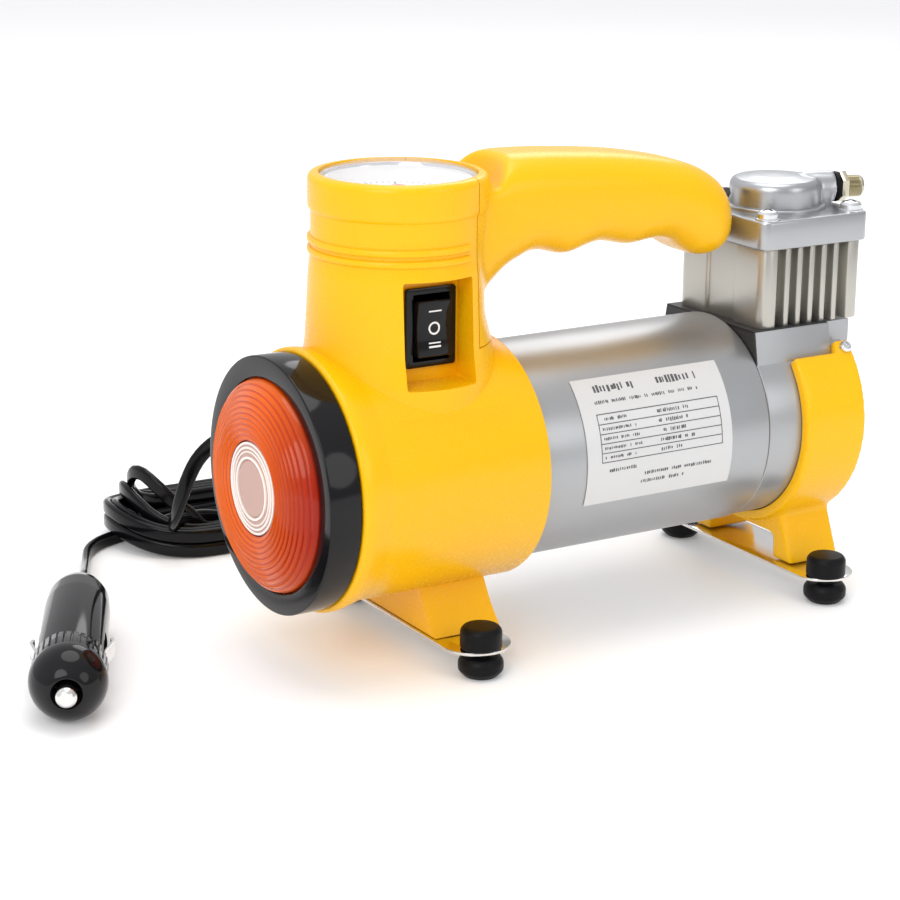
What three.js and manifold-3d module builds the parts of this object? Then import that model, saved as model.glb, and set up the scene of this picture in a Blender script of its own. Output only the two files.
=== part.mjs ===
// Portable 12 V tyre inflator: a finned single-cylinder pump on a DC motor, with a gauge tower,
// a lamp at the front, a carrying handle, four rubber feet and a lead with a car socket plug.
// Millimetres, +Z up. Lengths along the machine are measured from the front face of the lamp ring,
// and heights from the motor's axis; the last lines move the whole to its origin on the ground.
import * as THREE from 'three';
import { mergeVertices } from 'three/addons/utils/BufferGeometryUtils.js';
import Module from 'manifold-3d';

const wasm = await Module();
wasm.setup();

// ---- driving dimensions ----
const GAP = 0.3;                  // clearance between touching pieces
const GROUND = -50.5;             // the floor, below the motor's axis
const MIDDLE_X = 93.6;            // halfway from the lens to the outlet nipple

const RING_R = 35, RING_BACK = 9.3;
const BARREL_R = 34.35, BARREL_END = 68.35, BARREL_WALL = 2.2;
const TOWER_X = 39.8, TOWER_R = 24.2, TOWER_WALL = 2.4, TOWER_TOP = 82;
const SEAM_X = 52, SEAM_LOW = 36, SEAM_HIGH = 72;     // where the handle moulding meets the tower
const HANDLE_HALF = 15, HANDLE_ROUND = 6, HANDLE_WALL = 2.6;

const POCKET = { x0: 28.8, x1: 49.5, z0: 27.6, z1: 56, floor: -14.8 };
const SWITCH = { x: 40.4, z: 42.2, w: 15.3, h: 21.6, face: -16.5, pivot: -11.5 };

const CAN_R = 30.62, CAN_FRONT = 50, CAN_END = 144.8, CAN_WALL = 2;
const SHAFT_R = 3, CRANK_THROW = 6;
const CASE_R = 30.2, CASE_FRONT = 145.1, CASE_END = 178.3;
const CYL_X = 166.3, CYL_HALF_X = 18.1, CYL_HALF_Y = 20, CYL_BASE = 29.4, CYL_TOP = 52.1;
const BORE_X = 167.5, DECK_TOP = 29.1;                 // the bore stands over the crank
const BORE_R = 12;
const HEAD_X = 166.9, PLATE_X = 165.9, HEAD_HALF_X = 19.5, HEAD_HALF_Y = 21.6, HEAD_BASE = 52.4, HEAD_TOP = 60.7;
const BOLT_X = 15.2, BOLT_Y = 17.2;                   // half the spacing of the head bolts
const BOSS_R = 13.5, BOSS_TOP = 70.4;
const OUTLET_Z = 65.7, OUTLET_TURN = -20 * Math.PI / 180;

const PLATE_Z = -44.35, PLATE_T = 1.5;
const FRONT_PLATE = { x: 46.9, r: 9.8, end: 39.6 };
const REAR_PLATE = { x: 166.4, r: 9.2, end: 39.5 };
const FOOT_Y = 35.3, FRONT_FOOT_X = 45.4, REAR_FOOT_X = 164;
const SCREW_TURN = 48.5 * Math.PI / 180;               // the bracket's screws, from straight up

const PLUG_AT = [-61.8, -8.4], PLUG_NOSE_R = 10.25, PLUG_R = 9, PLUG_LENGTH = 67;
const PLUG_TURN = Math.atan2(-60.4, -28.8);
const CORD_R = 2.25;
const COIL = { x0: 27.5, x1: 107.5, y: 112.5, r: 25, hole: 10.5, h: 17 };

// ---- colours ----
const YELLOW = { color: 0xf9c51c, roughness: 0.35 };
const BLACK = { color: 0x101012, roughness: 0.3 };
const SILVER_PAINT = { color: 0xa9adb2, roughness: 0.45, metalness: 0.3 };
const CAST = { color: 0xb4b7bb, roughness: 0.4, metalness: 0.8 };
const STEEL = { color: 0xc9cbce, roughness: 0.25, metalness: 1 };
const BRASS = { color: 0xb9985a, roughness: 0.35, metalness: 1 };
const RUBBER = { color: 0x0c0c0d, roughness: 0.85 };
const COPPER = { color: 0xb5683a, roughness: 0.4, metalness: 1 };
const DARK_IRON = { color: 0x3c3d40, roughness: 0.6, metalness: 0.7 };
const AMBER = { color: 0xff6a10, roughness: 0.12, transparent: true, opacity: 0.85 };
const CLEAR = { color: 0xf2ece6, roughness: 0.1, transparent: true, opacity: 0.6 };
const WHITE = { color: 0xf1f1ef, roughness: 0.5 };
const BOARD_GREEN = { color: 0x1f6b3c, roughness: 0.6 };

const machine = new THREE.Group();

// ---- solids ----
function solid(geometry) {
  const bare = geometry.clone();
  for (const name of ['normal', 'uv']) bare.deleteAttribute(name);
  const merged = mergeVertices(bare, 1e-4);
  const triVerts = Uint32Array.from(merged.index.array);
  const vertProperties = Float32Array.from(merged.attributes.position.array);
  const made = new wasm.Manifold(new wasm.Mesh({ numProp: 3, vertProperties, triVerts }));
  if (made.volume() > 0) return made;
  for (let i = 0; i < triVerts.length; i += 3) {
    [triVerts[i], triVerts[i + 1]] = [triVerts[i + 1], triVerts[i]];
  }
  return new wasm.Manifold(new wasm.Mesh({ numProp: 3, vertProperties, triVerts }));
}

function geometryOf(manifold) {
  const { vertProperties, triVerts } = manifold.getMesh();
  const geometry = new THREE.BufferGeometry();
  geometry.setAttribute('position', new THREE.Float32BufferAttribute(vertProperties, 3));
  geometry.setIndex(new THREE.Uint32BufferAttribute(triVerts, 1));
  geometry.computeVertexNormals();
  return geometry;
}

const join = (first, ...rest) => rest.reduce((all, one) => all.add(one), first);
const cut = (first, ...rest) => rest.reduce((all, one) => all.subtract(one), first);

function piece(name, manifold, look, parent = machine) {
  const mesh = new THREE.Mesh(geometryOf(manifold), new THREE.MeshStandardMaterial(look));
  mesh.name = name;
  parent.add(mesh);
  return mesh;
}

// A turned solid from [radius, height] points; an outline off the axis is closed on itself.
function turned(points, segments = 32) {
  const onAxis = points[0][0] === 0 && points.at(-1)[0] === 0;
  const loop = onAxis ? points : [...points, points[0]];
  return new THREE.LatheGeometry(loop.map(([r, h]) => new THREE.Vector2(r, h)), segments);
}
const alongX = (geometry) => geometry.rotateZ(-Math.PI / 2);
const alongZ = (geometry) => geometry.rotateX(Math.PI / 2);
function turnedX(points, segments, y = 0, z = 0) {
  return solid(alongX(turned(points, segments)).translate(0, y, z));
}
function turnedZ(points, segments, x = 0, y = 0) {
  return solid(alongZ(turned(points, segments)).translate(x, y, 0));
}

function tubeX(outer, inner, x0, x1, segments = 40) {
  return turnedX([[inner, x0], [outer, x0], [outer, x1], [inner, x1]], segments);
}
function tubeZ(outer, inner, z0, z1, x, y, segments = 32) {
  return turnedZ([[inner, z0], [outer, z0], [outer, z1], [inner, z1]], segments, x, y);
}
function rodX(r, x0, x1, y = 0, z = 0, segments = 24) {
  return turnedX([[0, x0], [r, x0], [r, x1], [0, x1]], segments, y, z);
}
function rodZ(r, z0, z1, x, y, segments = 24) {
  return turnedZ([[0, z0], [r, z0], [r, z1], [0, z1]], segments, x, y);
}
function box(x0, x1, y0, y1, z0, z1) {
  const geometry = new THREE.BoxGeometry(x1 - x0, y1 - y0, z1 - z0);
  return solid(geometry.translate((x0 + x1) / 2, (y0 + y1) / 2, (z0 + z1) / 2));
}

function outline(points, holes = []) {
  const shape = new THREE.Shape(points.map(([a, b]) => new THREE.Vector2(a, b)));
  shape.holes = holes.map((hole) => new THREE.Path(hole.map(([a, b]) => new THREE.Vector2(a, b))));
  return shape;
}
function extruded(shape, depth, bevel = 0, steps = 3) {
  return new THREE.ExtrudeGeometry(shape, {
    depth: depth - 2 * bevel, curveSegments: 8, bevelEnabled: bevel > 0,
    bevelThickness: bevel, bevelSize: bevel, bevelOffset: -bevel, bevelSegments: steps,
  }).translate(0, 0, bevel);
}
// A shape drawn as (y, z) is given its length along x, one drawn as (x, z) along y, (x, y) along z.
function alongXFrom(shape, x0, x1, bevel, steps) {
  const geometry = extruded(shape, x1 - x0, bevel, steps);
  return solid(geometry.rotateX(Math.PI / 2).rotateZ(Math.PI / 2).translate(x0, 0, 0));
}
function alongYFrom(shape, y0, y1, bevel, steps) {
  return solid(extruded(shape, y1 - y0, bevel, steps).rotateX(Math.PI / 2).translate(0, y1, 0));
}
function alongZFrom(shape, z0, z1, bevel, steps) {
  return solid(extruded(shape, z1 - z0, bevel, steps).translate(0, 0, z0));
}

function arc(cx, cy, r, from, to, count) {
  return Array.from({ length: count + 1 }, (_, i) => {
    const angle = THREE.MathUtils.degToRad(from + (to - from) * i / count);
    return [cx + r * Math.cos(angle), cy + r * Math.sin(angle)];
  });
}
const circle = (cx, cy, r, count = 16) => arc(cx, cy, r, 0, 360, count).slice(0, -1);
function roundedBox(cx, cy, halfX, halfY, r, count = 4) {
  const [x, y] = [halfX - r, halfY - r];
  return [
    ...arc(cx + x, cy + y, r, 0, 90, count), ...arc(cx - x, cy + y, r, 90, 180, count),
    ...arc(cx - x, cy - y, r, 180, 270, count), ...arc(cx + x, cy - y, r, 270, 360, count),
  ];
}

// ---- lamp ----
const LENS_EDGE_R = 28.9, LENS_BULGE = 5.5, LENS_WALL = 1.8;
const lensFront = (r) => -LENS_BULGE + 5.3 * (r / LENS_EDGE_R) ** 2;

function buildLamp() {
  const bezel = turnedX([
    [29.2, 0], [34.4, 0], [RING_R, 0.6], [RING_R, RING_BACK], [33, RING_BACK], [33, 2], [29.2, 2],
  ], 36);
  piece('lamp_bezel', bezel, BLACK);

  const radii = [28.9, 24, 18, 12.95];
  const face = radii.map((r) => [r, lensFront(r)]);
  const back = radii.map((r) => [Math.min(r, 27), lensFront(r) + LENS_WALL]).reverse();
  const flange = [[27, 3.8], [32.6, 3.8], [32.6, 2.3], [28.9, 2.3]];
  piece('amber_lens', turnedX([...face, ...back, ...flange], 36), AMBER);

  const medallion = [
    [0, -5.5], [7.8, -5.5], [7.8, -5], [10.2, -5.2], [10.2, -4.8], [12.6, -4.6], [12.6, -2.8], [0, -2.8],
  ];
  piece('clear_lens', turnedX(medallion, 28), CLEAR);

  const dish = [[30.8, 4.2], [32, 4.2], [32, 5.4], [12.4, 23.2], [11, 23.2], [11, 22]];
  piece('lamp_reflector', turnedX(dish, 28), { color: 0xd8dadc, roughness: 0.15, metalness: 1 });
  const led = turnedX([[0, 18.5], [3.5, 18.9], [5, 20.5], [5, 24], [0, 24]], 20);
  piece('lamp_led_board', join(rodX(14, 23.5, 25.1), led), BOARD_GREEN);
}

// ---- yellow mouldings: the front housing and the handle ----
const UNDERSIDE = [
  [66, 49.6], [69, 53], [73.5, 56.1], [78, 57.2], [83, 56.4], [88, 55.1], [93.5, 56.4],
  [99, 57.6], [104.5, 56.8], [110, 55.7], [115, 56.3], [119.5, 56.5], [124, 55.7],
  [128, 53.2], [132.5, 50.7],
];
const HANDLE_TOP = [
  [145.2, 60], [144.2, 65.5], [141.2, 70.6], [137, 73.9], [131, 76.8], [118, 80], [104.3, 82],
  [91, 83.2], [78, 84], [68, 84.3], [62, 83.8],
];
const handleOutline = [
  [45, 44], [58, 44], ...UNDERSIDE, [136.5, 50.1], [141, 51.3], [144, 54.6],
  ...HANDLE_TOP, [45, 82.8],
];

// The tower from its flared foot up: two raised bands, a neck and the rim round the gauge.
const TOWER_PROFILE = [
  [0, 14], [26.2, 14], [26.2, 28], [25, 36], [24.1, 56], [23.6, 59.4], [24.7, 60.2], [24.7, 61.4],
  [23.5, 62.2], [24.6, 63.4], [24.6, 64.6], [23.4, 65.4], [23.3, 71.9], [TOWER_R, 72.6],
  [TOWER_R, 80.8], [23.4, TOWER_TOP], [0, TOWER_TOP],
];

function buildHousing() {
  const barrel = turnedX([
    [0, RING_BACK + GAP], [BARREL_R + 0.8, RING_BACK + GAP], [BARREL_R + 0.8, 12], [BARREL_R, 16],
    [BARREL_R, BARREL_END - 1.5], [BARREL_R - 1.5, BARREL_END], [0, BARREL_END],
  ], 36);
  const tower = turnedZ(TOWER_PROFILE, 28, TOWER_X, 0);
  const handleOuter = alongYFrom(outline(handleOutline), -HANDLE_HALF, HANDLE_HALF, HANDLE_ROUND, 4);
  const saddle = alongXFrom(outline([
    [-24, -42.6], [24, -42.6], [19.5, -38.5], [15.5, -30], [-15.5, -30], [-19.5, -38.5],
  ]), 38, 58.5);
  const outer = join(barrel, tower, handleOuter, saddle);

  // Hollow inside: the barrel's bore, the tower's bore and the channel along the handle.
  const bore = turnedX([
    [0, 5], [32.15, 5], [32.15, 51.5], [CAN_R + GAP, 51.5], [CAN_R + GAP, 70], [0, 70],
  ], 36);
  const towerBore = join(
    rodZ(TOWER_R - TOWER_WALL, 10, TOWER_TOP + 1, TOWER_X, 0, 28),
    rodZ(TOWER_R + 0.1, TOWER_TOP, 95, TOWER_X, 0, 28),
  );
  const tray = box(
    POCKET.x0 - 1.8, POCKET.x1 + 1.8, -26, POCKET.floor + 1.6, POCKET.z0 - 1.8, POCKET.z1 + 1.8);
  const trayIn = tray.intersect(rodZ(TOWER_R - 1.1, 20, 70, TOWER_X, 0, 28));
  const pocket = alongYFrom(
    outline(roundedBox((POCKET.x0 + POCKET.x1) / 2, (POCKET.z0 + POCKET.z1) / 2,
      (POCKET.x1 - POCKET.x0) / 2, (POCKET.z1 - POCKET.z0) / 2, 1.5, 3)), -40, POCKET.floor);
  const switchHole = box(
    SWITCH.x - 6.6, SWITCH.x + 6.6, -20, 0, SWITCH.z - 10.2, SWITCH.z + 10.2);
  const saddleHollow = alongXFrom(outline([
    [-21, -44], [21, -44], [16.5, -38], [13, -34.2], [-13, -34.2], [-16.5, -38],
  ]), 40.2, 56.3);
  const underBarrel = saddleHollow.subtract(rodX(BARREL_R - 0.6, 0, 80, 0, 0, 36));
  const channelTop = HANDLE_TOP.slice(2).map(([x, z]) => [x, z - HANDLE_WALL]);
  const channel = alongYFrom(outline([
    [50, 46], [64, 46], ...UNDERSIDE.slice(1).map(([x, z]) => [x, z - 8]), [141.8, 44],
    [142.4, 66], ...channelTop, [50, 80],
  ]), -11, 11);
  const grommetHole = solid(new THREE.CylinderGeometry(3.6, 3.6, 12, 20).translate(24, 34, -4));
  const tubeHole = rodX(2.2, 138, 150, 0, 66);

  // The handle moulding takes the tower's back wall too, from the seam to the groove below the rim.
  const handleSide = (gap) => join(
    box(SEAM_X + gap, 160, -40, 40, SEAM_LOW + gap, SEAM_HIGH - gap),
    box(SEAM_X + gap, 160, -40, 40, SEAM_HIGH - gap - 0.01, 95)
      .subtract(rodZ(TOWER_R + 0.3 + gap, 60, 96, TOWER_X, 0, 28)),
  );
  const hollow = outer.subtract(towerBore).subtract(bore);
  const housing = join(hollow.subtract(handleSide(0)).subtract(channel), trayIn.subtract(bore));
  const housingBody = cut(housing, pocket, switchHole, underBarrel, grommetHole);
  const shell = cut(hollow.intersect(handleSide(GAP)), channel, tubeHole);
  const grip = alongYFrom(outline([
    ...UNDERSIDE.slice(1).map(([x, z]) => [x, z - 4]), [141.2, 44], [141.2, 54.5], [134, 54.6],
    ...UNDERSIDE.slice(1, -1).reverse().map(([x, z]) => [x, z + 2.8]),
  ]), -11 + GAP, 11 - GAP).intersect(handleOuter);

  piece('front_housing', housingBody, YELLOW);
  piece('handle_shell', shell, YELLOW);
  piece('handle_grip', grip, YELLOW);
}

// ---- pressure gauge ----
const DIAL_Z = 75;
const NEEDLE_ZERO = THREE.MathUtils.degToRad(225);   // the needle's rest on the dial
function buildGauge() {
  const caseWall = turnedZ([
    [3.9, 66], [20, 66], [21.4, 67.4], [21.4, 81.6], [20.9, 82.2], [20.4, 81.6], [20.2, 80.2],
    [20.2, 67.2], [3.9, 67.2],
  ], 28, TOWER_X);
  piece('gauge_case', caseWall, STEEL);
  piece('gauge_dial', tubeZ(19.8, 1.3, DIAL_Z - 1, DIAL_Z, TOWER_X, 0, 24), WHITE);

  const blade = outline([[-5, -0.9], [0, -1.2], [15.5, -0.25], [15.5, 0.25], [0, 1.2], [-5, 0.9]]);
  const needle = join(
    alongZFrom(blade, DIAL_Z + 0.8, DIAL_Z + 1.3), rodZ(1.9, DIAL_Z + 0.5, DIAL_Z + 2.4, 0, 0, 16),
    rodZ(0.9, DIAL_Z - 2.2, DIAL_Z + 0.6, 0, 0, 12),
  );
  const pointer = piece('gauge_needle', needle, { color: 0xc02018, roughness: 0.4 });
  pointer.position.set(TOWER_X, 0, 0);
  pointer.rotation.z = NEEDLE_ZERO;

  const lens = turnedZ([
    [0, 85.2], [8, 84.7], [15, 83.3], [19.9, 81.7], [19.9, 80.4], [14.5, 82], [8, 83.4], [0, 83.9],
  ], 28, TOWER_X);
  piece('gauge_lens', lens, CLEAR);

  // The bent brass tube that unrolls under pressure, on its socket, with the hose spigot to the rear.
  const bent = outline([...arc(0, 0, 13, 200, 470, 18), ...arc(0, 0, 11, 470, 200, 18)]);
  const movement = join(
    alongZFrom(bent, 68.2, 71.6), box(-13.4, 0, -4.6, -1.6, 68.2, 71), rodZ(3.5, 56, 71, 0, 0, 6),
    rodX(2, 0, 10, 0, 58.5, 16),
  );
  piece('gauge_movement', movement, BRASS).position.set(TOWER_X, 0, 0);
}

// ---- rocker switch: its face looks along -Y, and it tips about the X axis ----
function buildSwitch() {
  const { x, z, w, h, face } = SWITCH;
  const bezel = alongYFrom(outline(roundedBox(x, z, w / 2, h / 2, 1, 2)), face, face + 1.4);
  const block = box(x - 6.3, x + 6.3, face + 1.4, -1.5, z - 9.9, z + 9.9);
  const well = box(x - 5.6, x + 5.6, face - 1, -5, z - 9.1, z + 9.1);
  piece('switch_body', join(bezel, block).subtract(well), BLACK);

  const rocker = outline([
    [-7.7, -6], [-7.5, -7.4], [-3.4, -6.7], [0, -6.4], [3.4, -6.7], [7.5, -7.4], [7.7, -6],
    [4.5, -1.6], [0, 1.6], [-4.5, -1.6],
  ].map(([up, out]) => [out, up]));
  const made = alongXFrom(rocker, x - 5.2, x + 5.2);
  piece('switch_rocker', made, BLACK).position.set(0, SWITCH.pivot, z);
}

// ---- motor ----
function buildMotor() {
  const can = turnedX([
    [CAN_R - CAN_WALL, CAN_FRONT], [CAN_R, CAN_FRONT], [CAN_R, CAN_END - 0.6], [CAN_R - 0.6, CAN_END],
    [8.4, CAN_END], [8.4, CAN_END - CAN_WALL], [CAN_R - CAN_WALL, CAN_END - CAN_WALL],
  ], 36);
  piece('motor_can', can, SILVER_PAINT);
  const cap = join(
    tubeX(28.3, 3.3, 50.5, 53, 28), tubeX(7, 3.3, 53, 58, 16),
  );
  piece('motor_end_cap', cap, BLACK);
  piece('rear_bearing', tubeX(8.1, 3.3, 139.5, 144.5, 16), STEEL);
  for (const [name, turn] of [['magnet_near', 180], ['magnet_far', 0]]) {
    const shape = outline([
      ...arc(0, 0, 28.2, turn - 58, turn + 58, 12), ...arc(0, 0, 24.6, turn + 58, turn - 58, 12),
    ]);
    piece(name, alongXFrom(shape, 76, 126), DARK_IRON);
  }
  for (const [name, side] of [['brush_upper', 1], ['brush_lower', -1]]) {
    const [low, high] = [9.3, 19].map((r) => r * side).sort((a, b) => a - b);
    piece(name, box(61, 68, -2.5, 2.5, low, high), DARK_IRON);
  }
}

// The rotor turns as one: shaft, commutator, wound core and the crank with its pin.
function buildRotor() {
  const slots = 8;
  const rim = [];
  for (let i = 0; i < slots; i++) {
    const at = i * 360 / slots;
    rim.push(...arc(0, 0, 23.9, at - 18, at + 18, 2), ...arc(0, 0, 15, at + 16, at + 29, 1));
  }
  const core = join(
    alongXFrom(outline(rim), 80, 122), rodX(21.5, 73, 80.5, 0, 0, 16), rodX(21.5, 121.5, 129, 0, 0, 16),
  ).subtract(rodX(SHAFT_R + GAP, 60, 140, 0, 0, 16));
  piece('rotor_core', core, COPPER);
  piece('rotor_shaft', rodX(SHAFT_R, 49.5, 152, 0, 0, 16), STEEL);
  piece('commutator', tubeX(9, SHAFT_R + GAP, 60, 70, 16), COPPER);

  const crank = outline([
    ...arc(0, 0, 17.5, 215, 325, 12), [9.5, -3], [8.5, 7], ...arc(0, CRANK_THROW, 6.5, 20, 160, 6),
    [-8.5, 7], [-9.5, -3],
  ]);
  const made = join(
    alongXFrom(crank, 150, 158), rodX(7, 148, 150.5, 0, 0, 20), rodX(2.6, 157.5, 163.8, 0, CRANK_THROW, 16),
  ).subtract(rodX(SHAFT_R + GAP, 140, 152.4, 0, 0, 16));
  piece('crank', made, STEEL);
}

// ---- pump ----
function buildPump() {
  // Crankcase casting: round against the motor, with a flat deck for the cylinder.
  const body = turnedX([
    [0, CASE_FRONT], [CASE_R, CASE_FRONT], [CASE_R, CASE_END], [0, CASE_END],
  ], 36);
  const deck = alongXFrom(
    outline([[-23.6, 16], [23.6, 16], [21, DECK_TOP], [-21, DECK_TOP]]), CASE_FRONT, 172.3);
  const rearDeck = alongXFrom(
    outline([[-18.5, 20], [18.5, 20], [18.5, DECK_TOP], [-18.5, DECK_TOP]]), 170, CASE_END);
  const flat = box(CASE_FRONT - 1, CASE_END + 1, -15, 15, DECK_TOP, 32);
  const room = rodX(26, 148, CASE_END + 1, 0, 0, 32);
  const throat = rodZ(BORE_R, 0, 40, BORE_X, 0, 24);
  const shaftHole = rodX(7.4, 140, 150, 0, 0, 20);
  piece('crankcase', cut(join(body, deck, rearDeck), flat, room, throat, shaftHole), SILVER_PAINT);

  const cover = turnedX([
    [0, CASE_END + GAP], [29.4, CASE_END + GAP], [29.4, 180], [27.5, 181.4], [0, 181.4],
  ], 32);
  const vents = [0, 60, 120, 180, 240, 300].map((turn) => {
    const [[y, z]] = arc(0, 0, 18, turn, turn, 1);
    return rodX(2.4, 170, 190, y, z, 8);
  });
  piece('crankcase_cover', cut(cover, ...vents), BLACK);

  // The wobble piston: rod and crown are one piece, with a cup seal round the crown.
  const bigEnd = tubeX(7, 4, 164.3, 170.7, 16).translate([0, 0, CRANK_THROW]);
  const rod = box(165.2, 169.8, -2.6, 2.6, CRANK_THROW + 6.3, 45);
  const crown = turnedZ([
    [0, 44], [11.3, 44], [11.3, 46.4], [9.8, 46.4], [9.8, 48.2], [11.3, 48.2], [11.3, 49.6], [0, 49.6],
  ], 20, BORE_X);
  piece('piston_rod', join(bigEnd, rod, crown), CAST);
  piece('piston_seal', tubeZ(11.7, 10.1, 46.7, 47.9, BORE_X, 0, 20), BLACK);

  buildCylinder();
  buildHead();
}

function buildCylinder() {
  // Half of one finned side, as (x, y) from the middle, with posts at the corners.
  const fins = [-8.8, -4.4, 0, 4.4, 8.8];
  const post = [[-CYL_HALF_X, -10], [-CYL_HALF_X, -17.8], [-16.4, -CYL_HALF_Y], [-13, -CYL_HALF_Y]];
  const side = [...post, [-12, -16]];
  for (const x of fins) {
    side.push([x - 1.1, -16], [x - 0.9, -19.4], [x + 0.9, -19.4], [x + 1.1, -16]);
  }
  side.push([12, -16], ...post.map(([x, y]) => [-x, y]).reverse());
  const endGrooves = [[CYL_HALF_X, -6.6], [CYL_HALF_X - 0.9, -6], [CYL_HALF_X - 0.9, 6], [CYL_HALF_X, 6.6]];
  const half = [...side, ...endGrooves];
  const loop = [...half, ...side.map(([x, y]) => [-x, -y]), ...endGrooves.map(([x, y]) => [-x, -y])];
  const shape = outline(loop.map(([x, y]) => [CYL_X + x, y]));
  const holes = boltPlaces().map(([x, y]) => rodZ(1.9, 20, 60, x, y, 8));
  const bore = rodZ(BORE_R, 20, 60, BORE_X, 0, 24);
  piece('cylinder', cut(alongZFrom(shape, CYL_BASE, CYL_TOP), bore, ...holes), CAST);
}

function boltPlaces() {
  const corners = [[-1, -1], [1, -1], [-1, 1], [1, 1]];
  return corners.map(([i, j]) => [PLATE_X + 0.3 + i * BOLT_X, j * BOLT_Y]);
}

function buildHead() {
  const plate = alongZFrom(
    outline(roundedBox(PLATE_X, 0, HEAD_HALF_X, HEAD_HALF_Y, 3.4)), HEAD_BASE, HEAD_TOP, 0.6, 1);
  const boss = turnedZ([
    [0, 58], [15, 58], [15, 61.6], [BOSS_R, 62.4], [BOSS_R - 0.6, 68.4], [10, BOSS_TOP], [0, BOSS_TOP],
  ], 28, HEAD_X);
  const port = turned([[0, 4], [4.7, 4], [4.7, 17.6], [0, 17.6]], 16).rotateZ(-Math.PI / 2);
  const portBoss = solid(port.rotateZ(OUTLET_TURN).translate(HEAD_X, 0, OUTLET_Z));
  const passage = turned([[0, 4], [2.2, 4], [2.2, 20], [0, 20]], 8).rotateZ(-Math.PI / 2);
  const outletWay = solid(passage.rotateZ(OUTLET_TURN).translate(HEAD_X, 0, OUTLET_Z));
  const gaugeSpigot = rodX(1.9, 149.9, 156, 0, 66, 8);
  const gaugeWay = rodX(0.9, 148, 160, 0, 66, 8);
  const recess = rodZ(14.8, 50, 54.4, HEAD_X, 0, 28);
  const chamber = rodZ(10.5, 54, 68, HEAD_X, 0, 16);
  const holes = boltPlaces().map(([x, y]) => rodZ(1.9, 50, 62, x, y, 8));
  const head = cut(join(plate, boss, portBoss, gaugeSpigot), recess, chamber, outletWay, gaugeWay, ...holes);
  piece('cylinder_head', head, CAST);

  const valveHoles = [circle(HEAD_X - 3.5, 4.5, 1.6, 10), circle(HEAD_X - 3.5, -4.5, 1.6, 10)];
  piece('valve_plate', alongZFrom(outline(circle(HEAD_X, 0, 14.4, 32), valveHoles), 52.45, 53.7), STEEL);
  const reed = outline([[0, -2.2], [13, -2.2], [13, 2.2], [0, 2.2]]);
  piece('outlet_reed', alongZFrom(reed, 0, 0.4), STEEL).position.set(HEAD_X - 6, 4.5, 54.1);

  boltPlaces().forEach(([x, y], i) => {
    const bolt = turnedZ([
      [0, 34], [1.5, 34], [1.5, 61], [3.6, 61], [3.6, 61.6], [3.2, 61.7], [3.2, 63.4], [0, 63.8],
    ], 10, x, y);
    piece(`head_bolt_${i + 1}`, bolt, STEEL);
  });

  // Outlet: a rubber ring and a threaded nipple on the boss that points to the rear.
  const outlet = new THREE.Group();
  outlet.position.set(HEAD_X, 0, OUTLET_Z);
  outlet.rotation.z = OUTLET_TURN;
  machine.add(outlet);
  piece('outlet_ring', tubeX(4.3, 2.5, 17.9, 19.2, 16), RUBBER, outlet);
  const threads = [[1.7, 19.5], [4.4, 19.5], [4.4, 21.2], [2.7, 21.6]];
  for (let i = 0; i < 3; i++) threads.push([3.2, 22 + i * 1.1], [2.8, 22.5 + i * 1.1]);
  const nipple = turnedX([...threads, [3.3, 25.4], [2.6, 26.6], [1.7, 26.6]], 12);
  piece('outlet_nipple', nipple, BRASS, outlet);
}

// ---- air tube from the head to the gauge, inside the handle ----
function tubeAlong(points, radius, sides, steps) {
  const section = outline(circle(0, 0, radius, sides));
  const places = points.map((p) => new THREE.Vector3(...p));
  const path = new THREE.CatmullRomCurve3(places, false, 'centripetal');
  return solid(new THREE.ExtrudeGeometry(section, { steps, extrudePath: path, bevelEnabled: false }));
}
function buildAirTube() {
  const route = [
    [149.6, 0, 66], [143, 0, 66.2], [130, 0, 69.5], [112, 0, 71], [92, 0, 71.5], [74, 0, 70.5],
    [62, 0, 66], [57, 0, 60.5], [53.5, 0, 58.6], [50.2, 0, 58.5],
  ];
  piece('gauge_air_tube', tubeAlong(route, 1.6, 6, 22), { color: 0x2b2b2e, roughness: 0.5 });
}

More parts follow.
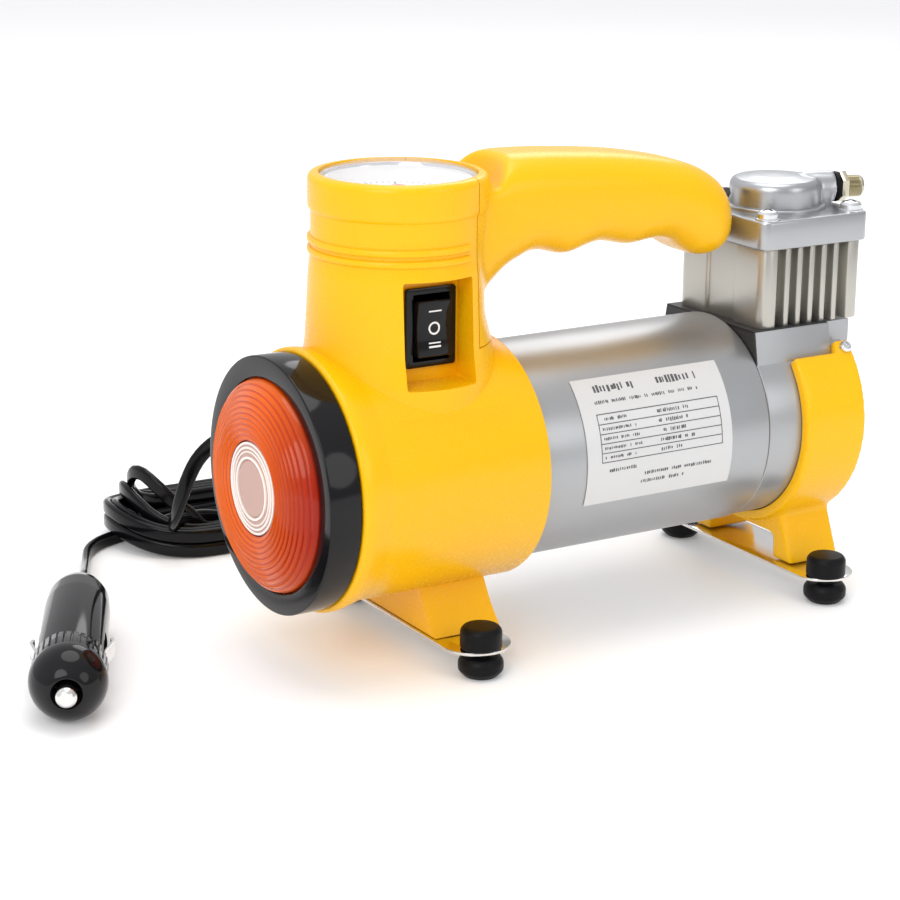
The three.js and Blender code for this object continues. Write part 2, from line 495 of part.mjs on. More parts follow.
// ---- rear bracket, cross plates and feet ----
function buildUndercarriage() {
  const strap = outline([
    ...arc(0, 0, 33.2, 180 - 40, 360 + 40, 28), ...arc(0, 0, CASE_R + GAP, 360 + 40, 180 - 40, 28),
  ]);
  const ears = [[38, 45], [135, 142]].map(([start, end]) => alongXFrom(outline([
    ...arc(0, 0, 33.2, start, end, 3), ...arc(0, 0, CASE_R + GAP, end, start, 3),
  ]), 172.7, 178));
  const legs = alongXFrom(outline([
    [-24.2, -42.6], [-15.3, -42.6], [-14.6, -35.5], [14.6, -35.5], [15.3, -42.6], [24.2, -42.6],
    [21.5, -36], [18.8, -29.5], [18.3, -24], [-18.3, -24], [-18.8, -29.5], [-21.5, -36],
  ]), 160, 178).subtract(rodX(CASE_R + GAP + 0.6, 150, 185, 0, 0, 28));
  const band = alongXFrom(strap, 156.5, 178);
  piece('rear_bracket', join(band, legs, ...ears), YELLOW);

  for (const [name, side] of [['bracket_screw_near', -1], ['bracket_screw_far', 1]]) {
    const screw = alongZ(turned([[0, 33.5], [1.8, 33.5], [1.8, 34.6], [1.2, 35.1], [0, 35.2]], 12));
    piece(name, solid(screw.rotateX(-side * SCREW_TURN).translate(175.3, 0, 0)), WHITE);
  }

  for (const [name, plate, footX] of [
    ['front_plate', FRONT_PLATE, FRONT_FOOT_X], ['rear_plate', REAR_PLATE, REAR_FOOT_X],
  ]) {
    const reach = plate.end - plate.r;
    const rim = [
      ...arc(plate.x, reach, plate.r, 0, 180, 12), ...arc(plate.x, -reach, plate.r, 180, 360, 12),
    ];
    const holes = [-1, 1].map((side) => circle(footX, side * FOOT_Y, 2.9, 12));
    piece(name, alongZFrom(outline(rim, holes), PLATE_Z, PLATE_Z + PLATE_T), STEEL);
  }

  for (const [name, x, y] of [
    ['foot_front_near', FRONT_FOOT_X, -FOOT_Y], ['foot_front_far', FRONT_FOOT_X, FOOT_Y],
    ['foot_rear_near', REAR_FOOT_X, -FOOT_Y], ['foot_rear_far', REAR_FOOT_X, FOOT_Y],
  ]) {
    const foot = turnedZ([
      [0, GROUND], [4.4, GROUND], [6.2, -48.6], [6.2, -46], [5.2, -44.7], [2.5, -44.7], [2.5, -42.5],
      [5.7, -42.5], [5.7, -37.4], [4.8, -36.4], [0, -36.4],
    ], 14, x, y);
    piece(name, foot, RUBBER);
  }
}

function buildLabel() {
  const [low, high] = [180 - 47.8, 180 + 19.7];
  const sheet = outline([...arc(0, 0, 31.15, low, high, 16), ...arc(0, 0, 30.9, high, low, 16)]);
  piece('rating_label', alongXFrom(sheet, 81.8, 131), WHITE);
}

// ---- lead: strain relief, flat cord, its coil and the plug ----
const LEAD = [
  [24, 54.4, -4], [23.9, 61, -4.3], [22, 68, -6.3], [18.5, 72.8, -10], [15, 75.4, -15],
  [12.6, 77.4, -21.5], [11.2, 79.4, -28], [11, 82, -34], [12.2, 85.4, -37.9], [15, 89.4, -39.3],
];
const TAIL = [
  [0.4, 112.4, -48.2], [-4.2, 109.3, -48.2], [-8.2, 104.8, -48.2], [-11.2, 99, -48],
  [-14.6, 91.4, -47.2], [-18.2, 83, -45.6], [-21.8, 74.8, -43.6], [-25.4, 66.8, -41.6], [-29, 59.2, -40.5],
  [-32.6, 52.55, -40.25],
];
function buildLead() {
  const grommet = turned([
    [2.6, 29], [4.3, 29], [4.3, 30.6], [3.3, 30.8], [3.3, 34.7], [5.2, 35], [5.2, 36.6], [4.4, 37.4],
    [3.3, 54], [2.6, 54],
  ], 12).translate(24, 0, -4);
  piece('cord_grommet', solid(grommet), RUBBER);
  piece('power_cord_lead', tubeAlong(LEAD, CORD_R, 8, 14), RUBBER);
  piece('power_cord_tail', tubeAlong(TAIL, CORD_R, 8, 12), RUBBER);
  const oval = (r) => [
    ...arc(COIL.x1, COIL.y, r, -90, 90, 12), ...arc(COIL.x0, COIL.y, r, 90, 270, 12),
  ];
  const ring = alongZFrom(outline(oval(COIL.r), [oval(COIL.hole)]), GROUND + 0.02, GROUND + COIL.h);
  piece('power_cord_coil', ring, RUBBER);
}

function buildPlug() {
  const plug = new THREE.Group();
  plug.position.set(PLUG_AT[0], PLUG_AT[1], GROUND + PLUG_NOSE_R);
  plug.rotation.z = PLUG_TURN;
  machine.add(plug);

  const body = turnedX([
    [0, -PLUG_LENGTH], [2.8, -PLUG_LENGTH], [5.6, -65.4], [7.8, -62], [8.8, -57], [PLUG_R, -50],
    [PLUG_R, -10.3], [7, -10.3], [7, -2], [4.5, -2], [4.5, -38], [0, -38],
  ], 20);
  const slots = [box(-27, -9.9, -12, -6.2, -2.9, 2.9), box(-27, -9.9, 6.2, 12, -2.9, 2.9)];
  piece('plug_body', cut(body, ...slots), BLACK, plug);

  const teeth = [];
  for (let at = 0; at < 360; at += 22.5) {
    teeth.push(...arc(0, 0, 9.9, at - 8, at + 8, 1), ...arc(0, 0, 9.3, at + 9, at + 13.5, 1));
  }
  const collar = alongXFrom(outline(teeth), -10, -0.5).subtract(rodX(7.3, -12, -1.7, 0, 0, 16));
  const ball = [];
  for (let i = 0; i <= 5; i++) {
    const angle = THREE.MathUtils.degToRad(-8 + i * 15.4);
    ball.push([PLUG_NOSE_R * Math.cos(angle), PLUG_NOSE_R * Math.sin(angle)]);
  }
  const nose = turnedX([[0, ball[0][1]], ...ball, [0, ball.at(-1)[1]]], 24);
  const capHole = join(rodX(3.1, -12, 12, 0, 0, 16), rodX(4.6, -12, 2, 0, 0, 16));
  piece('plug_cap', join(collar, nose).subtract(capHole), BLACK, plug);

  const tip = turnedX([
    [0, -6], [4.2, -6], [4.2, 1.6], [2.75, 1.7], [2.75, 11.6], [1.9, 12.7], [0, 12.7],
  ], 16);
  piece('plug_tip', tip, STEEL, plug);

  for (const [name, side] of [['plug_contact_left', -1], ['plug_contact_right', 1]]) {
    const strip = [
      [-10.6, 7.6], [-10.6, 8.4], [-15.5, 9.4], [-22.6, 11.2], [-25, 10.6], [-24.9, 9.8],
      [-22.5, 10.3], [-15.5, 8.5],
    ].map(([x, y]) => [x, y * side]);
    piece(name, alongZFrom(outline(strip), -2.1, 2.1), STEEL, plug);
  }
}

buildLamp();
buildHousing();
buildGauge();
buildSwitch();
buildMotor();
buildRotor();
buildPump();
buildAirTube();
buildUndercarriage();
buildLabel();
buildLead();
buildPlug();
machine.position.set(-MIDDLE_X, 0, -GROUND);

export default machine;
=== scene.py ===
# Portable 12 V tyre inflator: the looks of each piece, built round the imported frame.
# The sections follow the machine as it is put together, after the studio and the lead.
import math
import random

import bmesh
import bpy
from mathutils import Matrix, Vector


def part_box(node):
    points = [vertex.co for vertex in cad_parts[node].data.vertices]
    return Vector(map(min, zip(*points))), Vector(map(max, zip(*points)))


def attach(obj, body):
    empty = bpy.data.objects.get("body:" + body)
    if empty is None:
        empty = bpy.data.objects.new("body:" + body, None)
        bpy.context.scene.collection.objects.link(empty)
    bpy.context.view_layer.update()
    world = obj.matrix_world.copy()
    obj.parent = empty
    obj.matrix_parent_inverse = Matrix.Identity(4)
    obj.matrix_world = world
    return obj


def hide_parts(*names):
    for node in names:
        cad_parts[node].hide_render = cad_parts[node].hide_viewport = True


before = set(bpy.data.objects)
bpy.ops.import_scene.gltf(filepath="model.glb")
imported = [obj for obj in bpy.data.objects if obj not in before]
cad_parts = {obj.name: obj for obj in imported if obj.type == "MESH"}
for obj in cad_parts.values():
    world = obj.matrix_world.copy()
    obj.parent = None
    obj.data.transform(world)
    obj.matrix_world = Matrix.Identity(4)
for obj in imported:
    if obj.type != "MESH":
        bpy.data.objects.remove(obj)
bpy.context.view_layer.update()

# ---- the studio ----
# A plain pale floor, soft light from the left and above, and a camera a little above the machine.
# MACHINE takes millimetres from the lamp ring's face and the motor's axis to the frame's metres.
MM = 0.001
ring_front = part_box("lamp_bezel")[0].x
can_low, can_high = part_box("motor_can")
axis_height = (can_low.z + can_high.z) / 2
MACHINE = Matrix.Translation((ring_front, 0, axis_height)) @ Matrix.Scale(MM, 4)
GROUND = -axis_height / MM

CAMERA_LENS, CAMERA_FILM = 98.26, 36
CAMERA_PLACE = (-283.7, -556.9, 193.9)
CAMERA_TURN, CAMERA_DIP, CAMERA_LEAN = -31.43, 16.4, 0.57
camera = bpy.data.objects.new("camera", bpy.data.cameras.new("camera"))
camera.data.lens = CAMERA_LENS
camera.data.sensor_width = CAMERA_FILM
camera.location = MACHINE @ Vector(CAMERA_PLACE)
heading = Matrix.Rotation(math.radians(CAMERA_TURN), 3, "Z")
tilt = Matrix.Rotation(math.radians(90 - CAMERA_DIP), 3, "X")
roll = Matrix.Rotation(math.radians(CAMERA_LEAN), 3, "Z")
camera.rotation_euler = (heading @ tilt @ roll).to_euler()
bpy.context.scene.collection.objects.link(camera)
bpy.context.scene.camera = camera
bpy.context.scene.view_settings.view_transform = "Standard"

# The walls are brightest up and to the left, and fade to SKY_DIMMEST on the other side.
SKY_COLOUR, SKY_BRIGHT_SIDE = (0.98, 0.98, 1.0, 1), (-0.45, 0.3, 0.84)
SKY_DIM_FROM, SKY_DIMMEST = -0.6, 0.42
studio = bpy.data.worlds.new("studio")
studio.use_nodes = True
backdrop = studio.node_tree.nodes["Background"]
backdrop.inputs["Color"].default_value = SKY_COLOUR
sky_nodes, sky_links = studio.node_tree.nodes, studio.node_tree.links
direction = sky_nodes.new("ShaderNodeTexCoord")
towards = sky_nodes.new("ShaderNodeVectorMath")
towards.operation = "DOT_PRODUCT"
towards.inputs[1].default_value = SKY_BRIGHT_SIDE
sky_links.new(direction.outputs["Generated"], towards.inputs[0])
falloff = sky_nodes.new("ShaderNodeMapRange")
falloff.inputs["From Min"].default_value = SKY_DIM_FROM
falloff.inputs["To Min"].default_value = SKY_DIMMEST
falloff.inputs["To Max"].default_value = 1.0
sky_links.new(towards.outputs["Value"], falloff.inputs["Value"])
sky_links.new(falloff.outputs["Result"], backdrop.inputs["Strength"])
bpy.context.scene.world = studio

LIT_POINT = Vector((0, 0, 0.05))
for name, place, size, power in [
    ("window", (-0.9, -0.7, 0.75), 0.8, 5),
    ("overhead", (0.05, 0.1, 1.2), 0.9, 5),
    ("front_fill", (0.5, -1.2, 0.55), 0.7, 2),
    ("back_strip", (0.7, 0.8, 0.8), 0.6, 2),
]:
    lamp = bpy.data.lights.new(name, "AREA")
    lamp.shape = "DISK"
    lamp.size = size
    lamp.energy = power
    light = bpy.data.objects.new(name, lamp)
    light.location = place
    light.rotation_euler = (LIT_POINT - light.location).to_track_quat("-Z", "Y").to_euler()
    bpy.context.scene.collection.objects.link(light)

floor_mesh = bpy.data.meshes.new("floor")
floor_form = bmesh.new()
bmesh.ops.create_grid(floor_form, x_segments=1, y_segments=1, size=3)
floor_form.to_mesh(floor_mesh)
floor_form.free()
floor = bpy.data.objects.new("floor", floor_mesh)
bpy.context.scene.collection.objects.link(floor)
pale = bpy.data.materials.new("pale_floor")
pale.use_nodes = True
floor_paint = pale.node_tree.nodes["Principled BSDF"]
floor_paint.inputs["Base Color"].default_value = (0.9, 0.9, 0.9, 1)
floor_paint.inputs["Roughness"].default_value = 0.8
floor_paint.inputs["Emission Color"].default_value = (1, 1, 1, 1)
floor_paint.inputs["Emission Strength"].default_value = 0.12
floor_mesh.materials.append(pale)


# ---- the lead ----
# About 3 m of flat twin flex, black PVC, standing on its edge. It leaves the strain relief behind
# the lamp, drops on to the hank it is wound in, and comes out under the hank's left end to the plug.
CORD_WIDE, CORD_THICK = 4.5, 2.3
LEAD = [
    (24, 54.4, -4), (23.9, 61, -4.3), (22, 68, -6.3), (18.5, 72.8, -10), (15, 75.4, -15),
    (12.6, 77.4, -21.5), (11.2, 79.4, -28), (10.8, 82.2, -33.6), (11.8, 86.4, -37), (14.2, 91.3, -38.8),
]
TAIL = [
    (0.4, 112.4, -48.2), (-4.2, 109.3, -48.2), (-8.2, 104.8, -48.2), (-11.2, 99, -48),
    (-14.6, 91.4, -47.2), (-18.2, 83, -45.6), (-21.8, 74.8, -43.6), (-25.4, 66.8, -41.6),
    (-29, 59.2, -40.5), (-32.6, 52.55, -40.25),
]
HANK_LEFT, HANK_RIGHT, HANK_Y = 27.5, 107.5, 112.5
COLUMNS = [13.6, 16.1, 18.6, 21.1, 23.6]
LOW_LAYER, HIGH_LAYER = GROUND + 2.3, GROUND + 6.8
TURN_STEPS, LINE_STEP = 40, 2.4
FIRST_TURN_FROM, LAST_TURN_TO = 0.08, 0.68
# At the left end each turn humps over what crosses under it, and the first two rise over the
# lead's way in. A hump is a height, its place along the turn and its spread.
HUMP = (4.4, 0.87, 0.06)
LIFTS = {0: (13, 0.9, 0.075), 1: (6, 0.86, 0.07)}


def hank_point(turn, radius):
    """A point of the hank seen from above, from the left end of its near run and round to it."""
    part, along = divmod((turn % 1) * 4, 1)
    if part == 0:
        return HANK_LEFT + (HANK_RIGHT - HANK_LEFT) * along, HANK_Y - radius
    if part == 2:
        return HANK_RIGHT - (HANK_RIGHT - HANK_LEFT) * along, HANK_Y + radius
    middle = HANK_RIGHT if part == 1 else HANK_LEFT
    angle = math.radians(-90 + 180 * along + (0 if part == 1 else 180))
    return middle + radius * math.cos(angle), HANK_Y + radius * math.sin(angle)


def hump(at, height, middle, spread):
    """How far the cord rises over another, at a place along its turn."""
    return height * math.exp(-((at - middle) / spread) ** 2)


winding = [(r, HIGH_LAYER) for r in COLUMNS] + [(r, LOW_LAYER) for r in reversed(COLUMNS)]
route = LEAD + [(19.2, 95.7, -39.4), (27.5, 98.2, -40.4), (38, 98.9, -42.6)]
for number, (radius, height) in enumerate(winding):
    following = winding[min(number + 1, len(winding) - 1)]
    for step in range(TURN_STEPS):
        along = step / TURN_STEPS
        if number == 0 and along < FIRST_TURN_FROM:
            continue
        if number == len(winding) - 1 and along > LAST_TURN_TO:
            continue
        change = min(max((along - 0.5) * 4, 0), 1)
        change = change * change * (3 - 2 * change)
        x, y = hank_point(along, radius + (following[0] - radius) * change)
        z = height + (following[1] - height) * change + hump(along, *HUMP)
        if number in LIFTS:
            z += hump(along, *LIFTS[number])
        route.append((x, y, z))
route += [(36, 124.9, -48.2), (26, 121.4, -48.2), (16, 117.6, -48.2), (8, 115.1, -48.2)] + TAIL


def through(points, step):
    """Points about a step apart on one smooth curve through the ones given."""
    ends = [Vector(p) for p in points]
    ends = [ends[0] * 2 - ends[1]] + ends + [ends[-1] * 2 - ends[-2]]
    found = []
    for before, start, end, after in zip(ends, ends[1:], ends[2:], ends[3:]):
        pieces = max(1, round((end - start).length / step))
        for i in range(pieces):
            t = i / pieces
            found.append(0.5 * (
                2 * start + (end - before) * t
                + (2 * before - 5 * start + 4 * end - after) * t ** 2
                + (3 * start - before - 3 * end + after) * t ** 3))
    return found + [ends[-2]]


cord_line = through(route, LINE_STEP)


def put(mesh, name, material, body="housing", replaces=(), sharp=35):
    """A finished piece: its mesh, in machine millimetres, goes to the frame and rides on its body."""
    mesh.transform(MACHINE)
    mesh.materials.clear()
    mesh.materials.append(material)
    mesh.shade_smooth()
    mesh.set_sharp_from_angle(angle=math.radians(sharp))
    obj = bpy.data.objects.new(name, mesh)
    bpy.context.scene.collection.objects.link(obj)
    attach(obj, body)
    if replaces:
        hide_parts(*replaces)
    return obj


def finish(name, colour, roughness, metallic=0.0, spread=0.05, grain=400, relief=0.02, shade=0.06):
    """A procedural finish: a fine grain in the roughness and relief, and a broad drift in colour."""
    material = bpy.data.materials.new(name)
    material.use_nodes = True
    nodes, links = material.node_tree.nodes, material.node_tree.links
    shader = nodes["Principled BSDF"]
    shader.inputs["Metallic"].default_value = metallic
    where = nodes.new("ShaderNodeTexCoord")
    fine = nodes.new("ShaderNodeTexNoise")
    fine.inputs["Scale"].default_value = grain
    fine.inputs["Detail"].default_value = 4
    links.new(where.outputs["Object"], fine.inputs["Vector"])
    rough = nodes.new("ShaderNodeMapRange")
    rough.inputs["To Min"].default_value = max(0.02, roughness - spread)
    rough.inputs["To Max"].default_value = roughness + spread
    links.new(fine.outputs["Fac"], rough.inputs["Value"])
    links.new(rough.outputs["Result"], shader.inputs["Roughness"])
    broad = nodes.new("ShaderNodeTexNoise")
    broad.inputs["Scale"].default_value = 22
    links.new(where.outputs["Object"], broad.inputs["Vector"])
    drift = nodes.new("ShaderNodeValToRGB")
    drift.color_ramp.elements[0].position = 0.3
    drift.color_ramp.elements[0].color = (*[c * (1 - shade) for c in colour], 1)
    drift.color_ramp.elements[1].position = 0.7
    drift.color_ramp.elements[1].color = (*[min(1, c * (1 + shade)) for c in colour], 1)
    links.new(broad.outputs["Fac"], drift.inputs["Fac"])
    links.new(drift.outputs["Color"], shader.inputs["Base Color"])
    skin = nodes.new("ShaderNodeBump")
    skin.inputs["Strength"].default_value = relief
    skin.inputs["Distance"].default_value = 0.0004
    links.new(fine.outputs["Fac"], skin.inputs["Height"])
    links.new(skin.outputs["Normal"], shader.inputs["Normal"])
    return material


def glint(material, level):
    """Sets how strongly a finish mirrors what stands round it."""
    material.node_tree.nodes["Principled BSDF"].inputs["Specular IOR Level"].default_value = level


# The flex is two round cores side by side, so its section has a half circle at each end.
core = (CORD_WIDE - CORD_THICK) / 2
section_curve = bpy.data.curves.new("cord_section", "CURVE")
section_curve.dimensions = "2D"
section_line = section_curve.splines.new("POLY")
section = []
for side, start in ((1, 0), (-1, 180)):
    for i in range(9):
        angle = math.radians(start + i * 180 / 8)
        across = CORD_THICK / 2 * math.cos(angle)
        section.append((across, side * core + CORD_THICK / 2 * math.sin(angle)))
section_line.points.add(len(section) - 1)
for point, (across, up) in zip(section_line.points, section):
    point.co = (across, up, 0, 1)
section_line.use_cyclic_u = True
section_object = bpy.data.objects.new("cord_section", section_curve)
bpy.context.scene.collection.objects.link(section_object)
cord_curve = bpy.data.curves.new("cord_line", "CURVE")
cord_curve.dimensions = "3D"
cord_curve.twist_mode = "Z_UP"
cord_curve.bevel_mode = "OBJECT"
cord_curve.bevel_object = section_object
cord_curve.use_fill_caps = True
cord_spline = cord_curve.splines.new("POLY")
cord_spline.points.add(len(cord_line) - 1)
for point, co in zip(cord_spline.points, cord_line):
    point.co = (*co, 1)
cord_object = bpy.data.objects.new("cord_line", cord_curve)
bpy.context.scene.collection.objects.link(cord_object)
bpy.context.view_layer.update()
cord_mesh = bpy.data.meshes.new_from_object(
    cord_object.evaluated_get(bpy.context.evaluated_depsgraph_get()))
bpy.data.objects.remove(cord_object)
bpy.data.objects.remove(section_object)
form = bmesh.new()
form.from_mesh(cord_mesh)
bmesh.ops.remove_doubles(form, verts=form.verts, dist=1e-4)
bmesh.ops.recalc_face_normals(form, faces=form.faces)
form.to_mesh(cord_mesh)
form.free()
cord_black = finish("cord_pvc", (0.003, 0.003, 0.004), 0.16, spread=0.04, grain=900, relief=0.015)
glint(cord_black, 0.2)
power_cord = put(cord_mesh, "power_cord", cord_black, sharp=60,
                 replaces=["power_cord_lead", "power_cord_coil", "power_cord_tail"])


# ---- the lamp ----
# A gloss black bezel round a ribbed amber lens with a clear medallion in the middle. Behind them
# is a bright dish with the lamp's board at its back, all clipped into the front of the barrel.
def softened(points, radius, closed=True, steps=3):
    """The outline with each corner made round."""
    out = []
    for i, corner in enumerate(points):
        if not closed and i in (0, len(points) - 1):
            out.append(tuple(corner))
            continue
        before, here, after = (Vector(p) for p in (points[i - 1], corner, points[(i + 1) % len(points)]))
        a = here + (before - here).normalized() * min(radius, (before - here).length * 0.45)
        b = here + (after - here).normalized() * min(radius, (after - here).length * 0.45)
        for k in range(steps + 1):
            t = k / steps
            out.append(tuple(a.lerp(here, t).lerp(here.lerp(b, t), t)))
    return out


def lathe(outline, along="Z", closed=True, steps=120, at=(0, 0, 0)):
    """Turns an outline of (radius, length) points: closed on itself, or open with ends on the axis."""
    bm = bmesh.new()
    verts = [bm.verts.new((r, 0, h)) for r, h in outline]
    pairs = list(zip(verts, verts[1:])) + ([(verts[-1], verts[0])] if closed else [])
    edges = [bm.edges.new(pair) for pair in pairs]
    bmesh.ops.spin(bm, geom=verts + edges, axis=(0, 0, 1), cent=(0, 0, 0), steps=steps,
                   angle=2 * math.pi, use_merge=True)
    bmesh.ops.remove_doubles(bm, verts=bm.verts, dist=1e-4)
    turns = {"X": (math.pi / 2, "Y"), "Y": (-math.pi / 2, "X")}
    if along in turns:
        angle, axis = turns[along]
        bmesh.ops.rotate(bm, verts=bm.verts, cent=(0, 0, 0), matrix=Matrix.Rotation(angle, 3, axis))
    bmesh.ops.translate(bm, verts=bm.verts, vec=at)
    bmesh.ops.recalc_face_normals(bm, faces=bm.faces)
    return bm


def to_mesh(bm, name="part"):
    """The shape as a mesh, and the bmesh put away."""
    mesh = bpy.data.meshes.new(name)
    bm.to_mesh(mesh)
    bm.free()
    return mesh


BLACK_GLOSS = finish("black_gloss_abs", (0.006, 0.006, 0.007), 0.1, spread=0.03, grain=700, relief=0.01)
glint(BLACK_GLOSS, 0.27)
BEZEL_LINE = [(29.2, 0), (35, 0), (35, 9.3), (33, 9.3), (33, 2), (29.2, 2)]
bezel = lathe(softened(BEZEL_LINE, 0.45), "X", steps=160)
put(to_mesh(bezel), "lamp_bezel_ring", BLACK_GLOSS, replaces=["lamp_bezel"])

# The lens swells forward in rings of fine ribs, dips at the medallion, and has a flange behind.
LENS_R, LENS_INNER, LENS_BULGE, LENS_STEPS = 28.9, 12.95, 5.8, 90
RIB_PITCH, RIB_TALL = 1.45, 0.45
SHADED_AMBER, FULL_AMBER, LIT_AMBER = (0.5, 0.02, 0.001, 1), (1.0, 0.16, 0.001, 1), (0.96, 0.19, 0.03, 1)
ribs = []
for i in range(LENS_STEPS + 1):
    r = LENS_R + (LENS_INNER - LENS_R) * i / LENS_STEPS
    dip = 0.8 * math.exp(-((r - LENS_INNER) / 2.5) ** 2)
    swell = -0.2 - LENS_BULGE * max(0, 1 - (r / LENS_R) ** 5) ** 0.65 + dip
    ribs.append((r, swell + RIB_TALL * abs(math.cos(math.pi * r / RIB_PITCH))))
back = [(LENS_INNER, -2.2), (18, -1.3), (24, 0.1), (27, 3.8), (32.6, 3.8), (32.6, 2.3), (LENS_R, 2.3)]
amber = bpy.data.materials.new("amber_lens")
amber.use_nodes = True
nodes, links = amber.node_tree.nodes, amber.node_tree.links
shader = nodes["Principled BSDF"]
shader.inputs["Roughness"].default_value = 0.09
shader.inputs["Transmission Weight"].default_value = 0.25
shader.inputs["IOR"].default_value = 1.49
glint(amber, 0.22)
where = nodes.new("ShaderNodeTexCoord")
split = nodes.new("ShaderNodeSeparateXYZ")
links.new(where.outputs["Object"], split.inputs["Vector"])
# Painted light and shade: the base colour runs from SHADED_AMBER, painted shade on the near side, through
# FULL_AMBER to LIT_AMBER, a painted highlight on the far side.
across = nodes.new("ShaderNodeMapRange")
across.inputs["From Min"].default_value = -28 * MM
across.inputs["From Max"].default_value = 28 * MM
links.new(split.outputs["Y"], across.inputs["Value"])
painted_light_ramp = nodes.new("ShaderNodeValToRGB")
painted_light_ramp.color_ramp.elements[0].color = SHADED_AMBER
painted_light_ramp.color_ramp.elements[1].color = LIT_AMBER
painted_light_middle = painted_light_ramp.color_ramp.elements.new(0.42)
painted_light_middle.color = FULL_AMBER
links.new(across.outputs["Result"], painted_light_ramp.inputs["Fac"])
# Painted shade: rings at the rib pitch darken the amber towards red in each groove between the ribs.
centred = nodes.new("ShaderNodeMapping")
centred.inputs["Location"].default_value = (0, 0, -axis_height)
links.new(where.outputs["Object"], centred.inputs["Vector"])
groove_rings = nodes.new("ShaderNodeTexWave")
groove_rings.wave_type = "RINGS"
groove_rings.rings_direction = "X"
groove_rings.inputs["Scale"].default_value = 2 * math.pi / (20 * RIB_PITCH * MM)
links.new(centred.outputs["Vector"], groove_rings.inputs["Vector"])
painted_groove_shade = nodes.new("ShaderNodeMix")
painted_groove_shade.data_type = "RGBA"
painted_groove_shade.blend_type = "MULTIPLY"
painted_groove_shade.inputs["B"].default_value = (0.62, 0.3, 0.3, 1)
groove_shade_amount = nodes.new("ShaderNodeMapRange")
groove_shade_amount.inputs["From Max"].default_value = 0.5
groove_shade_amount.inputs["To Min"].default_value = 0.75
groove_shade_amount.inputs["To Max"].default_value = 0
links.new(groove_rings.outputs["Fac"], groove_shade_amount.inputs["Value"])
links.new(groove_shade_amount.outputs["Result"], painted_groove_shade.inputs["Factor"])
links.new(painted_light_ramp.outputs["Color"], painted_groove_shade.inputs["A"])
links.new(painted_groove_shade.outputs["Result"], shader.inputs["Base Color"])
put(to_mesh(lathe(ribs + back, "X", steps=144)), "amber_lens_ribbed", amber,
    replaces=["amber_lens"], sharp=25)

blush = finish("blush_acrylic", (0.55, 0.33, 0.27), 0.15, spread=0.03, relief=0.01, shade=0.04)
MEDALLION_LINE = [
    (0, -4.9), (7.4, -4.9), (7.9, -4.5), (8.6, -4.7), (12.2, -4.5), (12.7, -4.0), (12.7, -2.8), (0, -2.8),
]
medallion = lathe(MEDALLION_LINE, "X", closed=False, steps=96)
put(to_mesh(medallion), "medallion_plate", blush, replaces=["clear_lens"])


def lay_in(whole, mesh):
    """Lays one small mesh in with the others that make up a piece."""
    whole.from_mesh(mesh)
    bpy.data.meshes.remove(mesh)


milky = finish("clear_acrylic", (0.93, 0.86, 0.8), 0.1, spread=0.03, relief=0.01, shade=0.03)
bands = bmesh.new()
for r, half, top in ((8.3, 0.36, 5.15), (9.9, 0.22, 4.95), (11.0, 0.3, 4.95), (12.2, 0.34, 4.8)):
    band = [(r - half, -top), (r + half, -top), (r + half, -4.2), (r - half, -4.2)]
    lay_in(bands, to_mesh(lathe(softened(band, 0.15), "X", steps=96)))
put(to_mesh(bands), "medallion_rings", milky)


def arc(cx, cy, r, start, end, count):
    """Points on part of a circle, between two angles in degrees."""
    angles = [math.radians(start + (end - start) * i / count) for i in range(count + 1)]
    return [(cx + r * math.cos(a), cy + r * math.sin(a)) for a in angles]


def rounded_box(cx, cy, half_x, half_y, r, count=5):
    """The outline of a box with round corners."""
    x, y = half_x - r, half_y - r
    return (arc(cx + x, cy + y, r, 0, 90, count) + arc(cx - x, cy + y, r, 90, 180, count)
            + arc(cx - x, cy - y, r, 180, 270, count) + arc(cx + x, cy - y, r, 270, 360, count))


def prism(outline, low, high, along="Z", edge=0.0, segments=2):
    """A flat outline given its length: (x, y) along Z, (x, z) along Y or (y, z) along X."""
    axes = {"X": lambda a, b: (low, a, b), "Y": lambda a, b: (a, low, b), "Z": lambda a, b: (a, b, low)}
    bm = bmesh.new()
    face = bm.faces.new([bm.verts.new(axes[along](a, b)) for a, b in outline])
    grown = bmesh.ops.extrude_face_region(bm, geom=[face])
    lifted = [g for g in grown["geom"] if isinstance(g, bmesh.types.BMVert)]
    way = Vector({"X": (1, 0, 0), "Y": (0, 1, 0), "Z": (0, 0, 1)}[along])
    bmesh.ops.translate(bm, verts=lifted, vec=way * (high - low))
    bmesh.ops.recalc_face_normals(bm, faces=bm.faces)
    if edge:
        ends = [e for e in bm.edges
                if abs((e.verts[0].co - e.verts[1].co).normalized().dot(way)) < 0.5]
        bmesh.ops.bevel(bm, geom=ends, offset=edge, segments=segments, profile=0.5,
                        affect="EDGES", clamp_overlap=True, material=-1)
    return bm


clip_red = finish("lamp_clip", (0.16, 0.01, 0.01), 0.3)
clip = prism(rounded_box(-20.5, 4.5, 3.6, 3.4, 1), 3.9, 6.5, "X", edge=0.3)
put(to_mesh(clip), "lamp_clip", clip_red)


def made_real(obj):
    """The object with its modifiers applied."""
    seen = obj.evaluated_get(bpy.context.evaluated_depsgraph_get())
    mesh = bpy.data.meshes.new_from_object(seen)
    old = obj.data
    obj.modifiers.clear()
    obj.data = mesh
    bpy.data.meshes.remove(old)
    return obj


def bench(bm, name="part"):
    """The shape as an object on the bench, still in millimetres, ready to be carved."""
    obj = bpy.data.objects.new(name, to_mesh(bm, name))
    bpy.context.scene.collection.objects.link(obj)
    return obj


